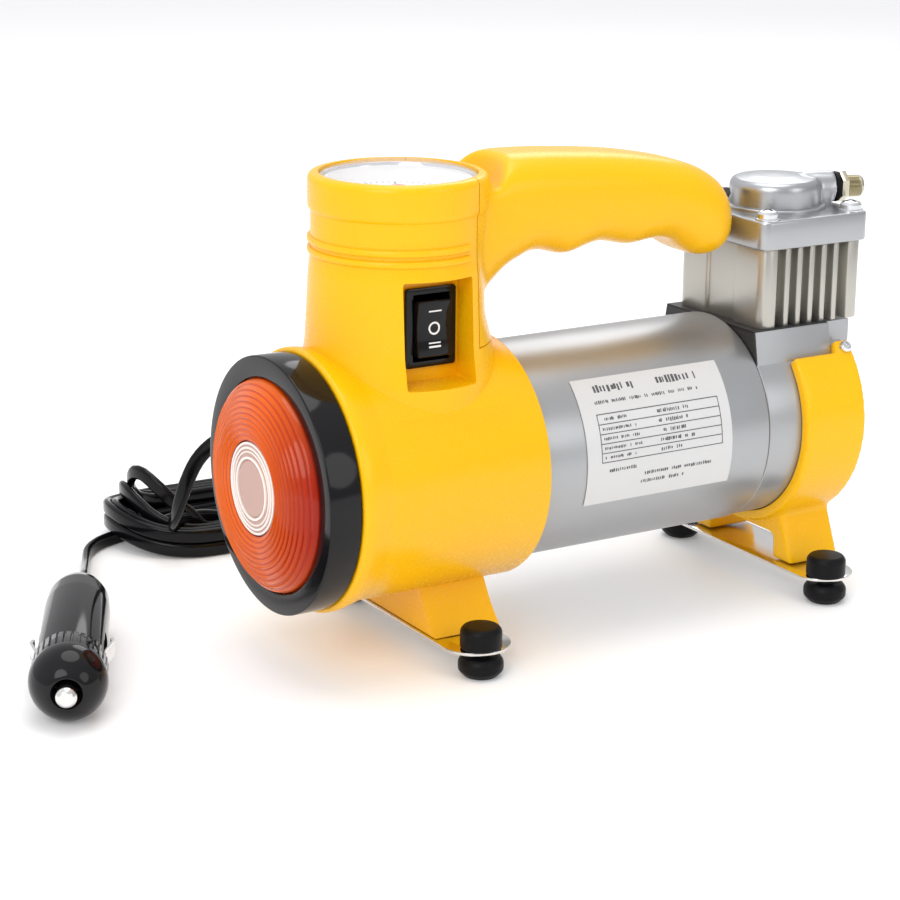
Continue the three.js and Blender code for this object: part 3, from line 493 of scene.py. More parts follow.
def carve(obj, how, *tools, solver="MANIFOLD"):
    """Cuts each tool out of the object, adds it, or keeps only what is common."""
    for tool in tools:
        cutter = tool if isinstance(tool, bpy.types.Object) else bench(tool, "cutter")
        step = obj.modifiers.new("carve", "BOOLEAN")
        step.operation = how
        step.object = cutter
        step.solver = solver
        made_real(obj)
        bpy.data.objects.remove(cutter)
    return obj


def off_bench(obj):
    """The finished mesh of a bench object, which is put away."""
    mesh = obj.data.copy()
    bpy.data.objects.remove(obj)
    return mesh


bright = finish("metallised_dish", (0.88, 0.88, 0.89), 0.12, metallic=1.0, relief=0.01, shade=0.02)
DISH_LINE = [(30.8, 4.2), (32, 4.2), (32, 5.6), (12.6, 23.2), (11, 23.2), (11.2, 21.8)]
dish = lathe(softened(DISH_LINE, 0.4), "X")
put(to_mesh(dish), "lamp_dish", bright, replaces=["lamp_reflector"])
board_green = finish("solder_mask", (0.03, 0.16, 0.07), 0.3, relief=0.03)
board = bench(lathe([(0, 23.5), (14, 23.5), (14, 25.1), (0, 25.1)], "X", closed=False, steps=64))
lamp_chip = softened([(0, 18.5), (4.6, 18.8), (5, 24), (0, 24)], 0.8, closed=False)
carve(board, "UNION", lathe(lamp_chip, "X", closed=False, steps=48))
put(off_bench(board), "lamp_board", board_green, replaces=["lamp_led_board"])

# ---- the yellow mouldings ----
# The barrel, the gauge tower, the foot and the handle are satin ABS. The handle is a moulding of
# its own that meets the tower along an upright seam; both are run together here, then parted.
def block(x0, x1, y0, y1, z0, z1):
    """A square-edged blank between its lowest and highest corners."""
    return prism([(x0, y0), (x1, y0), (x1, y1), (x0, y1)], z0, z1)


def cast(shapes, voxel, passes):
    """Overlapping blanks run together as one moulding or casting, with soft inner corners."""
    whole = bmesh.new()
    for shape in shapes:
        lay_in(whole, to_mesh(shape))
    obj = bench(whole)
    mould = obj.modifiers.new("mould", "REMESH")
    mould.mode = "VOXEL"
    mould.voxel_size = voxel
    made_real(obj)
    bm = bmesh.new()
    bm.from_mesh(obj.data)
    for _ in range(passes):
        bmesh.ops.smooth_vert(bm, verts=bm.verts, factor=0.5,
                              use_axis_x=True, use_axis_y=True, use_axis_z=True)
    bm.to_mesh(obj.data)
    bm.free()
    return obj


YELLOW = finish("yellow_abs", (0.95, 0.5, 0.001), 0.27, spread=0.02, grain=1100, relief=0.008,
                shade=0.015)
glint(YELLOW, 0.32)
BARREL_R, BARREL_END = 34.35, 68.35
TOWER_X, TOWER_R, TOWER_TOP = 39.8, 24.2, 81.2
SEAM_X, SEAM_LOW, SEAM_GAP = 52, 36, 0.3
HANDLE_HALF, HANDLE_ROUND = 15, 10
GRIP_FROM_X, GRIP_FROM_Z, GRIP_RUBS = 58, 40, 12
WAIST = 0.2
UNDERSIDE = [
    (66, 49.6), (69, 53), (73.5, 56.1), (78, 57.2), (83, 56.4), (88, 55.1), (93.5, 56.4),
    (99, 57.6), (104.5, 56.8), (110, 55.7), (115, 56.3), (119.5, 56.5), (124, 55.7),
    (128, 53.2), (132.5, 50.7), (136.5, 50.1), (141, 51.3), (144, 54.6),
]
HANDLE_TOP = [
    (145.2, 60), (144.2, 65.5), (141.2, 70.6), (137, 73.9), (131, 76.8), (118, 80), (104.3, 82),
    (91, 83.2), (80, 83.9), (71, 84), (62, 83.4),
]
BARREL_LINE = [
    (0, 9.6), (35.15, 9.6), (35.15, 11.5), (BARREL_R, 16), (BARREL_R, 66.85),
    (BARREL_R - 0.45, 67.9), (BARREL_R - 1.5, BARREL_END), (0, BARREL_END),
]
TOWER_LINE = [(0, 14), (27.2, 14), (26.6, 28), (25.2, 36), (24.1, 56), (23.5, 60), (23.4, 79), (0, 79)]
FOOT_LINE = [(-24, -42.6), (24, -42.6), (18.9, -36.8), (14.8, -30), (-14.8, -30), (-18.9, -36.8)]
barrel = lathe(BARREL_LINE, "X", closed=False, steps=160)
tower = lathe(TOWER_LINE, closed=False, steps=140, at=(TOWER_X, 0, 0))
foot = prism(FOOT_LINE, 38, 58.5, "X")

grip_curve = bpy.data.curves.new("handle_outline", "CURVE")
grip_curve.dimensions = "2D"
grip_curve.fill_mode = "BOTH"
grip_curve.extrude = HANDLE_HALF - HANDLE_ROUND
grip_curve.bevel_depth = HANDLE_ROUND
grip_curve.offset = -HANDLE_ROUND
grip_curve.bevel_resolution = 6
grip_curve.resolution_u = 6
grip_line = grip_curve.splines.new("BEZIER")
corners = [(45, 44), (58, 44)] + UNDERSIDE + HANDLE_TOP + [(45, 82.4)]
grip_line.bezier_points.add(len(corners) - 1)
for point, (x, z) in zip(grip_line.bezier_points, corners):
    point.co = (x, z, 0)
    point.handle_left_type = point.handle_right_type = "AUTO"
grip_line.use_cyclic_u = True
grip_object = bpy.data.objects.new("handle_outline", grip_curve)
bpy.context.scene.collection.objects.link(grip_object)
bpy.context.view_layer.update()
grip_mesh = bpy.data.meshes.new_from_object(
    grip_object.evaluated_get(bpy.context.evaluated_depsgraph_get()))
bpy.data.objects.remove(grip_object)
grip_mesh.transform(Matrix.Rotation(math.pi / 2, 4, "X"))
handle = bmesh.new()
handle.from_mesh(grip_mesh)
bmesh.ops.remove_doubles(handle, verts=handle.verts, dist=1e-3)
bmesh.ops.recalc_face_normals(handle, faces=handle.faces)
# The front end of the handle dips in a round hollow, which leaves room for the tower's rim.
grip = bench(handle)
hollow = [(20, 77.6), (24, 77.3), (25.6, 75.6), (27.2, 77.4), (28.8, 82), (29.4, 90), (20, 90)]
carve(grip, "DIFFERENCE", lathe(softened(hollow, 1.2), steps=140, at=(TOWER_X, 0, 0)), solver="EXACT")
handle = bmesh.new()
handle.from_mesh(grip.data)
bpy.data.objects.remove(grip)

moulding = carve(cast([tower, handle], 0.8, 4), "UNION", barrel, foot)
smooth_grip = bmesh.new()
smooth_grip.from_mesh(moulding.data)
for _ in range(GRIP_RUBS):
    held = [v for v in smooth_grip.verts if v.co.x > GRIP_FROM_X and v.co.z > GRIP_FROM_Z]
    bmesh.ops.smooth_vert(smooth_grip, verts=held, factor=0.5,
                          use_axis_x=True, use_axis_y=True, use_axis_z=True)
smooth_grip.to_mesh(moulding.data)
smooth_grip.free()


def ramp(value, start, length):
    """Rises from 0 to 1 over a length, and stays there."""
    return min(max((value - start) / length, 0), 1)


# Behind the seam the moulding is drawn in a little between the barrel and the handle.
for vertex in moulding.data.vertices:
    x, _, z = vertex.co
    if x > SEAM_X:
        pull = ramp(z, 36, 8) * ramp(-z, -68, 12) * ramp(-x, -72, 8)
        vertex.co.x = SEAM_X + (x - SEAM_X) * (1 - WAIST * pull)
LIP_LINE = [(33, 9.6), (36, 9.6), (36, 12.6), (34.1, 20), (33, 20)]
carve(moulding, "UNION", lathe(softened(LIP_LINE, 1.2, steps=5), "X", steps=160))
for low in (59.7, 62.6):
    rib = softened([(22, low), (24.4, low), (24.4, low + 2), (22, low + 2)], 0.9)
    rib_ring = bench(lathe(rib, steps=140, at=(TOWER_X, 0, 0)))
    carve(rib_ring, "INTERSECT", block(0, 48.7, -40, 40, 50, 70))
    carve(moulding, "UNION", rib_ring)
RIM_LINE = [(19, 70.9), (TOWER_R, 70.9), (TOWER_R, TOWER_TOP), (19, TOWER_TOP)]
carve(moulding, "UNION", lathe(softened(RIM_LINE, 2.2, steps=7), steps=160, at=(TOWER_X, 0, 0)))
# The cuts, in order: the lamp's seat, the motor's, the gauge's, the switch's two, the lead's hole.
pocket = prism(rounded_box(39.15, 41.8, 10.35, 14.2, 0.8), -40, -14.8, "Y")
carve(
    moulding, "DIFFERENCE",
    lathe([(0, 5), (32.3, 5), (32.3, 26), (0, 26)], "X", closed=False, steps=160),
    lathe([(0, 45), (30.95, 45), (30.95, 75), (0, 75)], "X", closed=False, steps=160),
    lathe([(0, 64), (21.3, 64), (21.3, 95), (0, 95)], closed=False, steps=140, at=(TOWER_X, 0, 0)),
    pocket,
    block(33.8, 47, -16, -1.3, 32, 52.5),
    lathe([(0, 28), (3.6, 28), (3.6, 45), (0, 45)], "Y", closed=False, steps=32, at=(24, 0, -4)),
)


def beyond_seam(gap):
    """The space behind the seam, a gap further back."""
    return block(SEAM_X + gap, 160, -40, 40, SEAM_LOW + gap, 95)


handle_part = moulding.copy()
handle_part.data = moulding.data.copy()
bpy.context.scene.collection.objects.link(handle_part)
carve(moulding, "DIFFERENCE", beyond_seam(0))
carve(handle_part, "INTERSECT", beyond_seam(SEAM_GAP))
put(off_bench(moulding), "front_housing_moulding", YELLOW,
    replaces=["front_housing"])
put(off_bench(handle_part), "handle_moulding", YELLOW,
    replaces=["handle_shell", "handle_grip"])

# ---- the gauge ----
# A plated case, dropped into the tower's rim, holds a white printed dial in a white cup. A red
# needle turns over the dial, and a domed window of clear plastic is pressed in on top.
chrome = finish("plated_rim", (0.75, 0.76, 0.78), 0.1, metallic=1.0, relief=0.01, shade=0.03)
CASE_LINE = [(20, 67), (20, 79), (20.5, 80.2), (21.2, 80.2), (21.2, 66), (19, 66), (19, 67)]
put(to_mesh(lathe(softened(CASE_LINE, 0.2), at=(TOWER_X, 0, 0))), "gauge_case_ring", chrome,
    replaces=["gauge_case"])
DIAL_Z = 75
paper = finish("dial_white", (0.95, 0.95, 0.94), 0.45, relief=0.01, shade=0.02)
dial = lathe([(1.3, DIAL_Z - 1), (19.8, DIAL_Z - 1), (19.8, DIAL_Z), (1.3, DIAL_Z)], at=(TOWER_X, 0, 0))
put(to_mesh(dial), "dial_face", paper, replaces=["gauge_dial"])
ink = finish("printing_ink", (0.02, 0.02, 0.022), 0.5, relief=0.01)
marks = bmesh.new()
ZERO, SWEEP, MARKS, NUMBERS, NUMBER_R = 225, 270, 50, 5, 12.4
for i in range(MARKS + 1):
    long_mark = i % 10 == 0
    inner = 15.2 if long_mark else (16.4 if i % 5 == 0 else 17)
    wide = 0.28 if long_mark else 0.12
    bar = to_mesh(block(inner, 18.4, -wide, wide, DIAL_Z + 0.02, DIAL_Z + 0.1))
    turn = Matrix.Rotation(math.radians(ZERO - i * SWEEP / MARKS), 4, "Z")
    bar.transform(Matrix.Translation((TOWER_X, 0, 0)) @ turn)
    lay_in(marks, bar)
for i in range(NUMBERS + 1):
    text = bpy.data.curves.new("number", "FONT")
    text.body = str(i * 2)
    text.size = 4
    text.align_x = "CENTER"
    text.align_y = "CENTER"
    text.extrude = 0.05
    written = bpy.data.objects.new("number", text)
    bpy.context.scene.collection.objects.link(written)
    bpy.context.view_layer.update()
    number = bpy.data.meshes.new_from_object(
        written.evaluated_get(bpy.context.evaluated_depsgraph_get()))
    bpy.data.objects.remove(written)
    angle = math.radians(ZERO - i * SWEEP / NUMBERS)
    number.transform(Matrix.Translation(
        (TOWER_X + NUMBER_R * math.cos(angle), NUMBER_R * math.sin(angle), DIAL_Z + 0.08)))
    lay_in(marks, number)
put(to_mesh(marks), "dial_print", ink)
white_cup = lathe([(19.5, DIAL_Z), (19.9, DIAL_Z), (19.9, 79.3), (19.5, 79.3)], at=(TOWER_X, 0, 0))
put(to_mesh(white_cup), "dial_cup", paper)
clear = finish("clear_window", (0.88, 0.88, 0.91), 0.06, spread=0.02, relief=0.005, shade=0.01)
clear.node_tree.nodes["Principled BSDF"].inputs["Alpha"].default_value = 0.2
WINDOW_LINE = [
    (0, 83.7), (4, 83.62), (8, 83.35), (12, 82.85), (15, 82.3), (18, 81.6), (20.4, 80.85),
    (20.95, 80.4), (20.4, 80.15), (18, 80.5), (15, 81.15), (12, 81.7), (8, 82.2), (4, 82.45), (0, 82.5),
]
put(to_mesh(lathe(WINDOW_LINE, closed=False, at=(TOWER_X, 0, 0))), "gauge_window", clear,
    replaces=["gauge_lens"])

# ---- the rocker switch ----
# A black panel switch of gloss plastic, pressed into the tower's pocket. The frame stays, and the
# rocker in it tips on its pin, with three printed white markings on its hollow face.
SWITCH_X, SWITCH_Z, SWITCH_FACE, PIVOT_Y = 40.4, 42.2, -16.5, -11.5
frame_outline = rounded_box(SWITCH_X, SWITCH_Z, 7.65, 10.8, 0.9)
panel = bench(prism(frame_outline, SWITCH_FACE, SWITCH_FACE + 1.4, "Y", edge=0.4))
carve(panel, "UNION", block(34.1, 46.7, SWITCH_FACE + 1, -1.5, 32.3, 52.1))
carve(panel, "DIFFERENCE", prism(rounded_box(SWITCH_X, SWITCH_Z, 5.6, 9.1, 0.3), -18, -5, "Y"))
put(off_bench(panel), "switch_frame", BLACK_GLOSS, replaces=["switch_body"])
ROCKER = [
    (-7.7, -6), (-7.5, -7.4), (-3.4, -6.7), (0, -6.4), (3.4, -6.7), (7.5, -7.4), (7.7, -6),
    (4.5, -1.6), (0, 1.6), (-4.5, -1.6),
]
paddle = prism([(PIVOT_Y + out, SWITCH_Z + up) for up, out in softened(ROCKER, 0.5)],
               SWITCH_X - 5.2, SWITCH_X + 5.2, "X", edge=0.3)
put(to_mesh(paddle), "switch_paddle", BLACK_GLOSS, body="rocker",
    replaces=["switch_rocker"])
white_ink = finish("white_ink", (0.85, 0.85, 0.85), 0.4, relief=0.01)


def painted(mesh):
    """A flat mark laid on the rocker's hollow face."""
    for vertex in mesh.vertices:
        up = abs(vertex.co.z - SWITCH_Z)
        face = 6.4 + 0.3 * min(up, 3.4) / 3.4 + 0.7 * max(up - 3.4, 0) / 4.1
        proud = 0.09 if vertex.co.y < 0 else -0.3
        vertex.co.y = PIVOT_Y - face - proud
    return mesh


signs = bmesh.new()
for middle, half, wide in ((4.7, 0.2, 1.9), (-3.9, 0.17, 1.8), (-4.9, 0.25, 1.8)):
    z = SWITCH_Z + middle
    lay_in(signs, painted(to_mesh(block(SWITCH_X - wide, SWITCH_X + wide, -1, 1, z - half, z + half))))
ring = lathe([(1.25, -1), (1.75, -1), (1.75, 1), (1.25, 1)], "Y", steps=40, at=(SWITCH_X, 0, SWITCH_Z))
lay_in(signs, painted(to_mesh(ring)))
put(to_mesh(signs), "switch_marks", white_ink, body="rocker")

# ---- the motor and its label ----
# A drawn steel can in silver-grey paint, held in the barrel at one end and against the pump at the
# other. A white vinyl rating sticker is wrapped on its near side, printed with plain ruled lines.
PAINT = finish("silver_paint", (0.42, 0.43, 0.44), 0.34, metallic=0.7, spread=0.03, grain=1500,
               relief=0.012, shade=0.02)
CAN_R, CAN_END = 30.62, 144.8
CAN_LINE = [
    (28.6, 50), (CAN_R, 50), (CAN_R, CAN_END), (8.4, CAN_END), (8.4, CAN_END - 2), (28.6, CAN_END - 2),
]
put(to_mesh(lathe(softened(CAN_LINE, 0.7), "X", steps=180)), "motor_tube", PAINT,
    replaces=["motor_can"])
LABEL_X0, LABEL_X1, LABEL_TOP, LABEL_BOTTOM = 81.8, 131, 180 - 47.8, 180 + 19.7
LABEL_R, LABEL_BACK = 31.0, 30.75
sticker = prism(arc(0, 0, LABEL_R, LABEL_TOP, LABEL_BOTTOM, 48)
                + arc(0, 0, LABEL_BACK, LABEL_BOTTOM, LABEL_TOP, 48), LABEL_X0, LABEL_X1, "X")
vinyl = finish("label_vinyl", (0.65, 0.65, 0.645), 0.3, relief=0.01, shade=0.02)
put(to_mesh(sticker), "rating_sticker", vinyl, replaces=["rating_label"])
rules = bmesh.new()
INK_R, INK_BACK = 31.06, 30.98


def printed(x0, x1, z0, z1):
    """A printed bar on the sticker, between two heights on the can's near side."""
    low, high = (180 - math.degrees(math.asin(z / LABEL_R)) for z in (z1, z0))
    lay_in(rules, to_mesh(prism(arc(0, 0, INK_R, low, high, 4) + arc(0, 0, INK_BACK, high, low, 4),
                                x0, x1, "X")))


TABLE_X0, TABLE_X1, TABLE_TOP, ROW, ROWS = 86.4, 127.5, 14.4, 2.55, 5
RULE_HALF = 0.11
for row in range(ROWS + 1):
    z = TABLE_TOP - row * ROW
    printed(TABLE_X0, TABLE_X1, z - RULE_HALF, z + RULE_HALF)
for x in (TABLE_X0, TABLE_X1 - 0.2):
    printed(x, x + 0.25, TABLE_TOP - ROWS * ROW, TABLE_TOP)
random.seed(4)


def greeked(x, end, z, tall):
    """Plain upright strokes where a line of small print would stand."""
    while x < end:
        if random.random() < 0.14:
            x += 1.1
        low = z - tall / 2 * random.uniform(0.5, 1)
        printed(x, x + tall * random.uniform(0.2, 0.45), low, z + tall / 2 * random.uniform(0.5, 1))
        x += tall * random.uniform(0.5, 0.75)


for row in range(ROWS):
    z = TABLE_TOP - (row + 0.5) * ROW
    greeked(TABLE_X0 + 1.2, TABLE_X0 + random.uniform(8, 14), z, 0.9)
    greeked(TABLE_X0 + 20, TABLE_X0 + random.uniform(25, 33), z, 1.1)
for x, end, z, tall in (
    (88, 101, 20.4, 1.9), (108, 121, 20.4, 1.9), (87, 121, 17.3, 0.9),
    (89, 98, -0.8, 1.1), (101, 124, -3.2, 1.1), (100, 114, -5.6, 1.1),
):
    greeked(x, end, z, tall)
grey_ink = finish("grey_ink", (0.09, 0.09, 0.1), 0.5, relief=0.01)
put(to_mesh(rules), "sticker_print", grey_ink)

# ---- the pump ----
# A round cast crankcase in the same paint with a flat deck, a finned aluminium cylinder on it,
# and a cast head held by four cross-head screws, with the outlet's boss to the rear.
CASE_R, CASE_FRONT, CASE_END = 30.2, 145.1, 178.3
case = bench(lathe(softened([(24, CASE_FRONT), (CASE_R, CASE_FRONT), (CASE_R, CASE_END), (26, CASE_END),
                             (26, 150), (24, 150)], 0.4), "X", steps=180))
carve(case, "DIFFERENCE", block(140, 190, -20, 20, 29, 40))
put(off_bench(case), "crankcase_casting", PAINT, replaces=["crankcase"])
DECK_TOP, DECK_END = 29.1, 172.3


def drum(radius, start, end, **turning):
    """A plain round blank, mostly to cut a hole with."""
    return lathe([(0, start), (radius, start), (radius, end), (0, end)], closed=False, **turning)


deck_line = [(-23.6, 16), (23.6, 16), (21, DECK_TOP), (-21, DECK_TOP)]
ledge_line = [(-19.4, 20), (19.4, 20), (19.4, DECK_TOP - 0.1), (-19.4, DECK_TOP - 0.1)]
deck = bench(prism(deck_line, CASE_FRONT + 0.2, DECK_END, "X", edge=0.3))
carve(deck, "UNION", prism(ledge_line, 170, 181.2, "X", edge=0.3))
carve(deck, "DIFFERENCE", drum(CASE_R - 0.5, 140, 190, along="X", steps=160))
put(off_bench(deck), "crankcase_deck", PAINT)
BLACK_MATT = finish("black_matt_cap", (0.02, 0.02, 0.022), 0.5, grain=1300, relief=0.08)
LID_LINE = [
    (0, 178.6), (29.4, 178.6), (29.4, 180.4), (27.5, 181.4), (10, 181.4), (9, 180.6), (0, 180.6),
]
LID_HOLES_R = 18
lid = bench(lathe(softened(LID_LINE, 0.5, closed=False), "X", closed=False, steps=140))
for turn in range(0, 360, 60):
    y, z = LID_HOLES_R * math.cos(math.radians(turn)), LID_HOLES_R * math.sin(math.radians(turn))
    carve(lid, "DIFFERENCE", drum(2.4, 176, 190, along="X", steps=32, at=(0, y, z)))
put(off_bench(lid), "crankcase_lid", BLACK_MATT, replaces=["crankcase_cover"])
# A thin black gasket lies between the deck and the cylinder. A thin black sheet on the deck's front face
# is painted shade, where that face stands in shadow.
gasket = prism([(144.9, -20.7), (171.9, -20.7), (171.9, 20.7), (144.9, 20.7)], DECK_TOP, DECK_TOP + 0.3)
put(to_mesh(gasket), "deck_gasket", BLACK_MATT)
# Painted shade: a black sheet laid over the deck's shadowed front face.
deck_front_shade_line = [(-23.2, 17), (23.2, 17), (20.9, DECK_TOP + 0.2), (-20.9, DECK_TOP + 0.2)]
deck_front_shade = bench(prism(deck_front_shade_line, CASE_FRONT - 0.2, CASE_FRONT + 0.3, "X"))
carve(deck_front_shade, "DIFFERENCE", drum(29.5, 140, 190, along="X", steps=160))
put(off_bench(deck_front_shade), "deck_front_shade", BLACK_MATT)

CYL_X, CYL_HALF_X, CYL_HALF_Y, CYL_BASE, CYL_TOP = 166.3, 18.1, 20, 29.4, 52.2
EXTRUDED = finish("extruded_aluminium", (0.5, 0.485, 0.44), 0.34, metallic=0.85, spread=0.03, grain=1500,
                  relief=0.006, shade=0.04)
FIN_ROOT, FIN_TIP = -15.6, -19.6
post = [
    (-CYL_HALF_X, -6.6), (-CYL_HALF_X, -17.4), (-17.2, -19.3), (-15.4, -CYL_HALF_Y),
    (-13, -CYL_HALF_Y), (-12, FIN_ROOT),
]
fins = []
for x in (-8.8, -4.4, 0, 4.4, 8.8):
    fins += [(x - 1.2, FIN_ROOT), (x - 0.9, FIN_TIP), (x + 0.9, FIN_TIP), (x + 1.2, FIN_ROOT)]
side = post + fins + [(-x, y) for x, y in reversed(post)]
groove = [(CYL_HALF_X - 0.9, -6), (CYL_HALF_X - 0.9, 6)]
outline = side + groove + [(-x, -y) for x, y in side] + [(-x, -y) for x, y in groove]
sleeve = prism([(CYL_X + x, y) for x, y in softened(outline, 0.6)], CYL_BASE, CYL_TOP, edge=0.12)
put(to_mesh(sleeve), "cylinder_sleeve", EXTRUDED, replaces=["cylinder"])

HEAD_X, PLATE_X, HEAD_BASE, HEAD_TOP = 166.9, 165.9, 52.4, 60.7
OUTLET_Z, OUTLET_TURN = 65.7, math.radians(-20)
CAST_ALLOY = finish("cast_alloy", (0.44, 0.45, 0.465), 0.3, metallic=0.88, spread=0.03, grain=1500,
                    relief=0.01, shade=0.03)
head_outline = rounded_box(PLATE_X, 0, 19.5, 21.6, 3.4)
plate = bench(prism(head_outline, HEAD_BASE, HEAD_TOP, edge=0.7, segments=3))
outlet = Matrix.Translation((HEAD_X, 0, OUTLET_Z)) @ Matrix.Rotation(OUTLET_TURN, 4, "Z")
port = lathe([(0, 8), (4.5, 8), (4.8, 12), (4.8, 17.6), (0, 17.6)], "X", closed=False, steps=48)
bmesh.ops.transform(port, matrix=outlet, verts=port.verts)
web = block(3, 16.2, -5, 5, 59.5 - OUTLET_Z, 0.5)
bmesh.ops.transform(web, matrix=outlet, verts=web.verts)
DOME_LINE = [(0, 58), (13.5, 58), (13.3, 66.8), (12.9, 68.1), (11.8, 69), (6, 69.8), (0, 70.1)]
STEP_LINE = [(0, 59), (15, 59), (15, 61.5), (12, 62.1), (0, 62.1)]
dome = lathe(DOME_LINE, closed=False, at=(HEAD_X, 0, 0))
boss = cast([dome, port, web], 0.45, 5)
carve(plate, "UNION", lathe(softened(STEP_LINE, 0.4, closed=False), closed=False, at=(HEAD_X, 0, 0)))
carve(plate, "UNION", boss)
put(off_bench(plate), "head_casting", CAST_ALLOY, replaces=["cylinder_head"])

ZINC = finish("zinc_plate", (0.72, 0.73, 0.75), 0.24, metallic=1.0, spread=0.03, grain=1500,
              relief=0.008)
BOLT_X, BOLT_Y = 15.2, 17.2
SCREW_LINE = [
    (0, 60.2), (3.6, 60.2), (3.6, 61.1), (3.1, 61.3), (3.1, 62.5), (2.6, 63.2), (1.4, 63.6), (0, 63.7),
]


def cross_cut(screw, x, y, reach, half, low, high):
    """Cuts a cross slot in a screw's head."""
    carve(screw, "DIFFERENCE", block(x - reach, x + reach, y - half, y + half, low, high),
          block(x - half, x + half, y - reach, y + reach, low, high))


for i, (sx, sy) in enumerate([(-1, -1), (1, -1), (-1, 1), (1, 1)]):
    x, y = PLATE_X + 0.3 + sx * BOLT_X, sy * BOLT_Y
    screw = bench(lathe(SCREW_LINE, closed=False, steps=48, at=(x, y, 0)))
    cross_cut(screw, x, y, 1.9, 0.45, 62.5, 66)
    put(off_bench(screw), f"head_screw_{i + 1}", ZINC, replaces=[f"head_bolt_{i + 1}"])

RUBBER = finish("black_rubber", (0.005, 0.005, 0.006), 0.42, spread=0.06, grain=900, relief=0.04)
glint(RUBBER, 0.14)
seal = lathe([(2.5, 17.9), (4.3, 17.9), (4.5, 18.5), (4.3, 19.2), (2.5, 19.2)], "X", steps=48)
bmesh.ops.transform(seal, matrix=outlet, verts=seal.verts)
put(to_mesh(seal), "outlet_seal", RUBBER, replaces=["outlet_ring"])
NICKEL = finish("nickelled_brass", (0.56, 0.52, 0.4), 0.2, metallic=1.0, grain=900, relief=0.03,
                shade=0.1)
THREADS, THREAD_PITCH = 9, 0.42
thread = [(1.7, 20.6), (2.8, 20.6)]
for i in range(THREADS):
    thread += [(3.25, 21.8 + i * THREAD_PITCH), (2.85, 22.01 + i * THREAD_PITCH)]
nipple = bench(lathe(thread + [(3.2, 25.8), (2.6, 26.6), (1.7, 26.6)], "X", steps=48))
hexagon = bench(prism(arc(0, 0, 4.5, 30, 330, 5), 19.5, 21.6, "X", edge=0.25))
carve(hexagon, "DIFFERENCE", drum(1.7, 10, 30, along="X", steps=32))
carve(nipple, "UNION", hexagon)
fitting = off_bench(nipple)
fitting.transform(outlet)
put(fitting, "outlet_fitting", NICKEL, replaces=["outlet_nipple"])

# ---- the rear bracket, cross plates and feet ----
# A yellow strap moulding round the crankcase stands on a bright cross plate, as the barrel's foot
# does in front. Each plate has a turned rubber foot pressed through both of its round ends.
STRAP_OUT, STRAP_IN, STRAP_END = 33.2, 29.2, 178


def strap_piece(start, end, count, front):
    """A length of the strap between two angles round the crankcase."""
    outline = arc(0, 0, STRAP_OUT, start, end, count) + arc(0, 0, STRAP_IN, end, start, count)
    return prism(outline, front, STRAP_END, "X")


strap = strap_piece(140, 400, 72, 156.5)
ears = [strap_piece(37, 46.5, 4, 172.5), strap_piece(133.5, 143, 4, 172.5)]
LEGS_LINE = [
    (-24.2, -42.6), (-15.3, -42.6), (-14.6, -35), (14.6, -35), (15.3, -42.6), (24.2, -42.6),
    (21.5, -36), (18.8, -29.5), (18.3, -24), (-18.3, -24), (-18.8, -29.5), (-21.5, -36),
]
legs = prism(LEGS_LINE, 160, STRAP_END, "X")
bracket = cast([strap, legs, *ears], 0.7, 5)
carve(bracket, "DIFFERENCE", drum(30.5, 140, 190, along="X", steps=160))
put(off_bench(bracket), "bracket_moulding", YELLOW, replaces=["rear_bracket"])
PIN_X, PIN_TURN = 175.3, math.radians(48.5)
for name, way in (("near", 1), ("far", -1)):
    pin = bench(lathe([(0, 33), (1.8, 33), (1.8, 34.2), (1.3, 34.9), (0, 35.1)], closed=False, steps=40))
    cross_cut(pin, 0, 0, 1.1, 0.25, 34.5, 36)
    mesh = off_bench(pin)
    mesh.transform(Matrix.Translation((PIN_X, 0, 0)) @ Matrix.Rotation(way * PIN_TURN, 4, "X"))
    put(mesh, f"bracket_pin_{name}", ZINC, replaces=[f"bracket_screw_{name}"])

BRIGHT = finish("bright_steel", (0.76, 0.75, 0.73), 0.18, metallic=1.0, spread=0.03, grain=1500,
                relief=0.006, shade=0.06)
FOOT_Y, PLATE_Z, PLATE_T = 35.3, -43.75, 0.9
FRONT_FOOT_X, REAR_FOOT_X = 45.4, 164
for name, x, r, end, foot_x in (
    ("front", 46.9, 9.8, 39.6, FRONT_FOOT_X),
    ("rear", 166.4, 9.2, 39.5, REAR_FOOT_X),
):
    reach = end - r
    plate_outline = arc(x, reach, r, 0, 180, 32) + arc(x, -reach, r, 180, 360, 32)
    blank = bench(prism(plate_outline, PLATE_Z, PLATE_Z + PLATE_T, edge=0.25))
    for way in (-1, 1):
        carve(blank, "DIFFERENCE", drum(2.9, -50, -40, steps=32, at=(foot_x, way * FOOT_Y, 0)))
    put(off_bench(blank), f"{name}_cross_plate", BRIGHT, replaces=[f"{name}_plate"])
RUBBER_FOOT_LINE = [
    (0, GROUND), (4.4, GROUND), (6.2, -48.6), (6.2, -46.2), (5.2, -44.75), (2.5, -44.75), (2.5, -42.5),
    (5.7, -42.5), (5.7, -37.6), (4.8, -36.4), (0, -36.4),
]
for end, x in (("front", FRONT_FOOT_X), ("rear", REAR_FOOT_X)):
    for reach, way in (("near", -1), ("far", 1)):
        foot = lathe(softened(RUBBER_FOOT_LINE, 0.6, closed=False), closed=False, steps=64,
                     at=(x, way * FOOT_Y, 0))
        put(to_mesh(foot), f"{end}_foot_{reach}", RUBBER, replaces=[f"foot_{end}_{reach}"])

